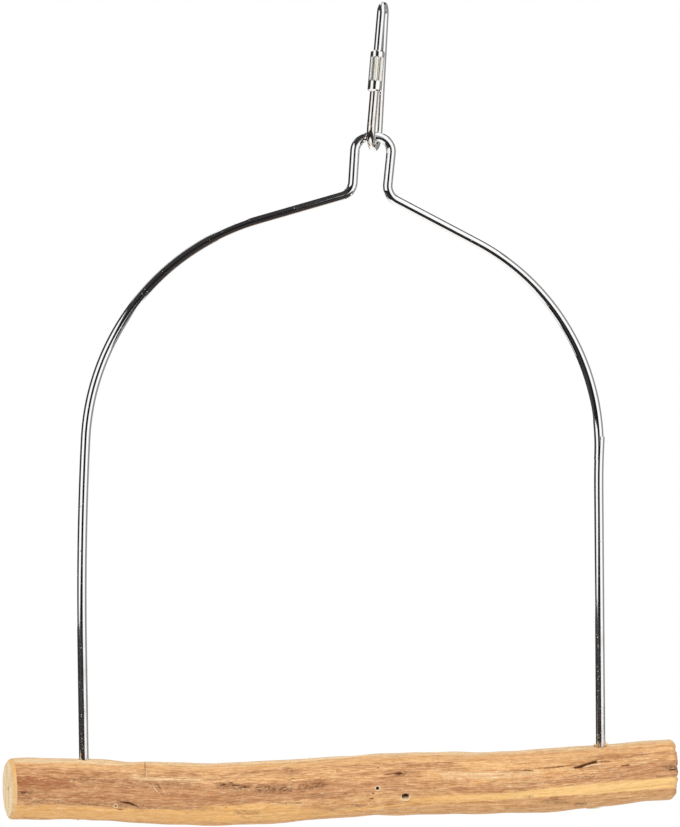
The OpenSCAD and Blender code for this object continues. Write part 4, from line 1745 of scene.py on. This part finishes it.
@dataclass
class LooseFibres:
    """Fibres torn up by the drill and the saw, and a splinter under the branch.

    The single ones are root, tip, bow and width in millimetres. Root and tip are (distance from the left
    cut, height above the middle line, distance off the skin). At the holes, turns are drawn as shares of the
    gap between two fibres, rises as shares of the longest, leans and bows as shares of the rise, and widths
    in millimetres.
    """

    line: BranchLine
    feet: tuple[Vector, Vector]
    sides: int = 6
    rings: int = 9
    seed: int = 21
    right_count: int = 15
    right_longest: float = 2.1 * MM
    left_count: int = 5
    left_longest: float = 0.9 * MM
    hole_rim: float = 1.95 * MM
    root_sink: float = 0.3 * MM
    skin_radius: float = 11.3 * MM
    turns: Pair = (-0.3, 0.3)
    rises: Pair = (0.35, 1.0)
    leans: Pair = (0.1, 0.9)
    bows: Pair = (-0.1, 0.35)
    widths: Pair = (0.22, 0.5)
    thinning: float = 0.92
    flatness: float = 0.4
    single: tuple[tuple[Triple, Triple, Triple, float], ...] = (
        ((109.5, 11.2, 0.0), (109.7, 11.28, 1.3), (0.1, 0, 0.1), 0.22),
        ((212.1, -11.2, -0.1), (218.2, -11.3, 0.55), (0, 0, -0.1), 0.75),
        ((213.8, -10.9, -0.1), (216.9, -11.1, 0.3), (0, 0, -0.1), 0.6),
        ((25.3, -11.0, -0.1), (25.1, -11.05, 0.45), (0, 0, 0), 0.6),
        ((2.5, -10.6, -0.1), (3.1, -10.9, 0.3), (0, 0, 0), 0.7),
    )
    finish: TornFibre = TornFibre()

    def on_skin(self, along: float, height: float, off: float) -> Array:
        """Place on the front of the branch.

        Args:
            along: Distance from the left cut.
            height: Height above the middle line.
            off: Distance off the skin.

        Returns:
            The place in the part's frame.
        """
        radius = float(self.line.radius(np.array(along / self.line.length)))
        angle = math.pi - math.asin(max(-1.0, min(1.0, height / radius)))
        return self.line.surface(np.array(along), np.array(angle), np.array(radius + off))

    def drilled(self) -> list[Fibre]:
        """Fibres round the two drilled holes, most of them at the right wire.

        Returns:
            The fibres, with seeded lengths and leans.
        """
        rng = np.random.default_rng(self.seed)
        found = []
        left_foot, right_foot = self.feet
        for foot, count, longest in ((right_foot, self.right_count, self.right_longest),
                                     (left_foot, self.left_count, self.left_longest)):
            share = np.array((foot.x - self.line.start) / self.line.length)
            top = float(self.line.middle(share) + self.line.radius(share))
            for k in range(count):
                turn = math.tau * (k + rng.uniform(*self.turns)) / count
                out = np.array([math.cos(turn), math.sin(turn), 0])
                root = np.array([foot.x, foot.y, top - self.root_sink]) + out * self.hole_rim
                root[2] -= self.skin_radius - math.sqrt(self.skin_radius ** 2 - root[1] ** 2)
                rise = rng.uniform(*self.rises) * longest
                tip = root + out * rng.uniform(*self.leans) * rise + np.array([0, 0, rise])
                bow = out * rng.uniform(*self.bows) * rise
                found.append(Fibre(root, tip, bow, rng.uniform(*self.widths) * MM))
        return found

    def chosen(self) -> list[Fibre]:
        """Single fibres that show on the branch's outline."""
        return [Fibre(self.on_skin(*np.array(root) * MM), self.on_skin(*np.array(tip) * MM),
                      np.array(bow) * MM, width * MM) for root, tip, bow, width in self.single]

    def strand(self, fibre: Fibre, share: Array) -> tuple[Array, Array, Array]:
        """Points of one fibre.

        Args:
            fibre: The fibre.
            share: Place of each ring from its root to its tip.

        Returns:
            The points, the length along the fibre of each ring, and the radius at each ring and side.
        """
        angle = np.arange(self.sides) * math.tau / self.sides
        reach = fibre.tip - fibre.root
        line = fibre.root + share[:, None] * reach + (4 * share * (1 - share))[:, None] * fibre.bow
        run = reach / np.linalg.norm(reach)
        flat = np.cross(run, [0.3, 1.0, 0.2])
        flat /= np.linalg.norm(flat)
        thin = np.cross(run, flat)
        half = fibre.width / 2 * (1 - self.thinning * share ** 1.5)
        ring = np.cos(angle)[None, :, None] * flat + self.flatness * np.sin(angle)[None, :, None] * thin
        points = (line[:, None, :] + half[:, None, None] * ring).reshape(-1, 3)
        return points, share * np.linalg.norm(reach), np.repeat(half[:, None], self.sides, axis=1)

    def build(self, grain: EffectGroup) -> Object:
        """Builds and dresses the fibres.

        Args:
            grain: The group of long grain.

        Returns:
            One object with all fibres.
        """
        share = np.linspace(0, 1, self.rings)
        points, straight, faces = [], [], []
        fibres = [*self.drilled(), *self.chosen()]
        for fibre in fibres:
            first = len(points) * self.rings * self.sides
            places, lengths, radii = self.strand(fibre, share)
            points.append(places)
            straight.append(straightened(lengths + first * 7e-4, radii))
            faces += ring_faces(self.rings, self.sides, first) + end_faces(self.rings, self.sides, first)
        reach = np.tile(np.repeat(share, self.sides), len(fibres))
        mesh = Mesh("torn_fibres", np.concatenate(points), faces,
                    {STRAIGHT: np.concatenate(straight), "reach": reach})
        piece = mesh.build([self.finish.material(grain)])
        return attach(piece, "swing")


BLACK: Colour = (0.014, 0.013, 0.013, 1.0)
DARK: Colour = (0.040, 0.037, 0.037, 1.0)
GREY: Colour = (0.27, 0.27, 0.26, 1.0)
PALE_GREY: Colour = (0.45, 0.44, 0.43, 1.0)
WHITE: Colour = (1.0, 1.0, 1.0, 1.0)


@dataclass(frozen=True)
class Flag:
    """A dark card round the swing that only its reflections show.

    Clock is the angle round the viewing direction, from the right over the top, and aside is the angle away
    from the camera, both in degrees.
    """

    name: str
    clock: Pair
    aside: Pair
    tone: Colour = DARK


@dataclass
class Studio:
    """Camera, soft light, pale floor and the cards that the chrome reflects."""

    azimuth: float = math.radians(-6)
    target: Vector = field(default_factory=lambda: Vector((-15.84, 0, -147.68)) * MM)
    distance: float = 1.27368
    lens: float = 151.49
    world_level: float = 0.74
    key_place: Triple = (-0.5, -1.15, 0.7)
    key_size: float = 1.1
    key_power: float = 10.8
    floor_height: float = -0.45
    floor_radii: tuple[float, ...] = (0.02, 0.2, 0.4, 0.7, 1.0, 1.6, 3.0, 8.0)
    floor_sides: int = 96
    floor_tones: tuple[Colour, Colour] = ((0.86, 0.86, 0.86, 1.0), (0.89, 0.89, 0.89, 1.0))
    floor_clouds: Pattern = Pattern((5.0, 5.0, 5.0))
    fade_from: float = 0.42
    fade_to: float = 0.95
    low_span: Pair = (-8, 172)
    low_steps: int = 40
    low_middle: float = -0.05
    low_distance: float = 0.62
    low_top: float = -0.264
    low_height: float = 0.17
    hook_place: Triple = (-0.052, 0.016, 0.046)
    hook_half_width: float = 0.034
    flag_distance: float = 1.6
    flags: tuple[Flag, ...] = (
        Flag("camera", (47, 390), (0, 24), BLACK),
        Flag("camera_top_right", (47, 72), (23, 31), BLACK),
        Flag("camera_side", (30, 47), (0, 14), BLACK),
        Flag("low_left_level", (189, 207), (23, 125), BLACK),
        Flag("low_left_wide", (207, 217), (23, 104), BLACK),
        Flag("low_left_mid", (217, 226), (23, 84), BLACK),
        Flag("low_left_steep", (226, 233), (23, 60), BLACK),
        Flag("low_left_near", (233, 280), (23, 53), BLACK),
        Flag("low_shoulder", (280, 300), (23, 106)),
        Flag("low_right", (300, 322), (23, 125)),
        Flag("low_right_steep", (322, 337), (23, 86)),
        Flag("upper", (72, 90), (23, 50)),
        Flag("upper_middle", (90, 99), (23, 118)),
        Flag("upper_shoulder", (99, 114), (23, 92)),
        Flag("upper_left", (114, 142), (23, 112)),
        Flag("behind_upper", (70, 99), (118, 180), PALE_GREY),
        Flag("behind_upper_left", (118, 142), (118, 180), PALE_GREY),
        Flag("behind_left", (142, 189), (75, 180)),
        Flag("behind_right", (-34, 50), (80, 180), GREY),
        Flag("behind_top_right", (50, 70), (98, 180)),
    )

    def toward_camera(self) -> Vector:
        """Direction from the swing to the camera."""
        return Vector((math.sin(self.azimuth), -math.cos(self.azimuth), 0))

    @staticmethod
    def hang(name: str, data: Camera | Light, place: Vector, facing: Vector) -> Object:
        """Hangs the camera or a lamp.

        Args:
            name: Name of the object.
            data: The camera or light.
            place: Where it hangs.
            facing: Direction that it faces.

        Returns:
            The object, linked to the scene.
        """
        hung = bpy.data.objects.new(name, data)
        hung.location = place
        hung.rotation_mode = "QUATERNION"
        hung.rotation_quaternion = facing.to_track_quat("-Z", "Y")
        bpy.context.scene.collection.objects.link(hung)
        return hung

    def camera(self) -> None:
        """Places the camera at the photograph's viewing angle."""
        lens = bpy.data.cameras.new("camera")
        lens.lens = self.lens
        lens.sensor_width = 36
        lens.clip_start = 0.05
        lens.clip_end = 60
        place = self.target + self.distance * self.toward_camera()
        bpy.context.scene.camera = self.hang("camera", lens, place, -self.toward_camera())

    def key(self) -> None:
        """Adds a soft lamp that shines on the swing and isn't reflected."""
        light = bpy.data.lights.new("key", "AREA")
        light.size = self.key_size
        light.energy = self.key_power
        place = Vector(self.key_place)
        self.hang("key", light, place, self.target - place).visible_glossy = False

    def world(self) -> None:
        """White surroundings for the camera and for reflections, and plain soft light for the rest."""
        world = bpy.data.worlds.new("soft_white")
        bpy.context.scene.world = world
        world.use_nodes = True
        graph = Graph(world.node_tree)
        background = world.node_tree.nodes["Background"]
        background.inputs["Color"].default_value = WHITE
        strength = graph.spread(self.seen_directly(graph), self.world_level, 1.0)
        graph.feed(background.inputs["Strength"], strength)

    @staticmethod
    def seen_directly(graph: Graph) -> NodeSocket:
        """1 for camera, glossy and transmission rays, and 0 for the rest."""
        path = graph.add("LightPath").outputs
        return graph.math("MAXIMUM", path["Is Camera Ray"],
                          graph.math("MAXIMUM", path["Is Glossy Ray"], path["Is Transmission Ray"]))

    def floor_material(self) -> Material:
        """Pale floor that fades into the white surroundings and is clear from below.

        Returns:
            The material.
        """
        material, graph = new_material("pale_floor")
        place = graph.add("TexCoord").outputs["Object"]
        out = graph.distance(graph.stretched(place, (1.0, 1.0, 0.0)))
        white = graph.times(graph.step(out, self.fade_from, self.fade_to), self.seen_directly(graph))
        tone = graph.blend(graph.noise(place, self.floor_clouds), *self.floor_tones)
        matt = graph.add("BsdfDiffuse", {"Color": tone})
        glow = graph.add("Emission", {"Color": WHITE, "Strength": 1.0})
        mixed = graph.add("MixShader", {0: white, 1: matt.outputs[0], 2: glow.outputs[0]})
        below = graph.add("NewGeometry").outputs["Backfacing"]
        clear = graph.add("BsdfTransparent")
        seen = graph.add("MixShader", {0: below, 1: mixed.outputs[0], 2: clear.outputs[0]})
        graph.feed(material.node_tree.nodes["Material Output"].inputs["Surface"], seen.outputs[0])
        return material

    def floor(self) -> None:
        """Lays the floor, which keeps the swing's shadow."""
        angle = np.arange(self.floor_sides) * math.tau / self.floor_sides
        ring = np.stack([np.cos(angle), np.sin(angle), np.zeros(self.floor_sides)], axis=-1)
        rings = np.array(self.floor_radii)[:, None, None] * ring
        points = rings.reshape(-1, 3) + np.array([0, 0, self.floor_height])
        faces = [face[::-1] for face in ring_faces(len(rings), self.floor_sides)]
        faces.append(tuple(range(self.floor_sides)))
        floor = Mesh("pale_floor", points, faces).build([self.floor_material()])
        floor.visible_glossy = False

    def hang_card(self, name: str, points: Array, tone: Colour) -> None:
        """Hangs a card that only reflections show.

        Args:
            name: Name of the card.
            points: Its points, as rows by columns.
            tone: Its even colour.
        """
        material, graph = new_material("card_" + name)
        glow = graph.add("Emission", {"Color": tone, "Strength": 1.0})
        graph.feed(material.node_tree.nodes["Material Output"].inputs["Surface"], glow.outputs[0])
        rows, columns, _ = points.shape
        first = np.arange(rows - 1)[:, None] * columns + np.arange(columns - 1)
        corners = np.stack([first, first + 1, first + columns + 1, first + columns], axis=-1)
        faces = [tuple(face) for face in corners.reshape(-1, 4).tolist()]
        card = Mesh("flag_" + name, points.reshape(-1, 3), faces).build([material])
        for ray in ("camera", "diffuse", "transmission", "volume_scatter", "shadow"):
            setattr(card, "visible_" + ray, False)

    def hang_flag(self, flag: Flag) -> None:
        """Hangs a flag on a sphere round the swing.

        Args:
            flag: The flag.
        """
        clock = np.radians(np.linspace(*flag.clock, 25))
        aside = np.radians(np.linspace(*flag.aside, 37))
        near = np.array(self.toward_camera())
        right = np.array([math.cos(self.azimuth), math.sin(self.azimuth), 0])
        across, outward = np.meshgrid(clock, aside, indexing="ij")
        rim = np.cos(across)[..., None] * right + np.sin(across)[..., None] * np.array([0, 0, 1])
        sphere = np.cos(outward)[..., None] * near + np.sin(outward)[..., None] * rim
        self.hang_card(flag.name, np.array(self.target) + self.flag_distance * sphere, flag.tone)

    def low_card(self) -> None:
        """Sets the low dark card that the lower legs reflect, curved round the swing's left."""
        turn = np.radians(np.linspace(*self.low_span, self.low_steps))
        x = self.low_middle - self.low_distance * np.sin(turn)
        y = -self.low_distance * np.cos(turn)
        heights = self.low_top, self.low_top - self.low_height
        rows = [np.stack([x, y, np.full(self.low_steps, height)], axis=-1) for height in heights]
        self.hang_card("low_left", np.array(rows), DARK)

    def hook_card(self) -> None:
        """Sets a small dark card beside the link's top, for the hook that a real swing hangs on."""
        middle = np.array(self.hook_place)
        away = middle / np.linalg.norm(middle)
        across = np.cross(away, [0.0, 1.0, 0.0])
        across /= np.linalg.norm(across)
        along = np.cross(away, across)
        square = np.array([[a * across + b * along for a in (-1, 1)] for b in (-1, 1)])
        self.hang_card("hook", middle + self.hook_half_width * square, DARK)

    def build(self) -> None:
        """Sets up the whole studio."""
        self.camera()
        self.world()
        self.floor()
        for flag in self.flags:
            self.hang_flag(flag)
        self.low_card()
        self.hook_card()
        self.key()
        bpy.context.scene.view_settings.view_transform = "Standard"


def report(piece: Object) -> None:
    """Logs a finished piece."""
    log.info("%s: %d points, %d faces", piece.name, len(piece.data.vertices), len(piece.data.polygons))


def main() -> None:
    """Builds the studio and every piece of the swing in order."""
    logging.basicConfig(level=logging.INFO, format="%(name)s: %(message)s")
    Studio().build()
    swing = next(joint for joint in frame["joints"] if joint["name"] == "swing")
    loop = Vector(swing["pos_m"])
    frame_drop = 237 * MM
    left_foot, right_foot, left_overhang, right_overhang = 105.8 * MM, 84.2 * MM, 27.8 * MM, 27.6 * MM
    line = BranchLine(
        start=loop.x - left_foot - left_overhang,
        height=loop.z - frame_drop,
        length=left_foot + right_foot + left_overhang + right_overhang,
    )
    wire = WireFrame(loop, line)
    feet = tuple(Vector((loop.x + x, 0, loop.z + wire.foot_end(x))) for x in (-left_foot, right_foot))
    corners = [place for place, _ in wire.corners()]
    legs = corners[:2], corners[:-3:-1]
    leans = tuple((upper[0] - foot[0]) / (upper[1] - foot[1]) for foot, upper in legs)
    grain, plate_wear = long_grain(), worn_plate()
    plane = LinkPlane()
    report(QuickLink(plane).build(plate_wear))
    report(SleeveNut(plane).build(plate_wear))
    report(wire.build(plate_wear))
    report(Branch(line, feet, leans).build(grain))
    report(LooseFibres(line, feet).build(grain))


if __name__ == "__main__":
    main()
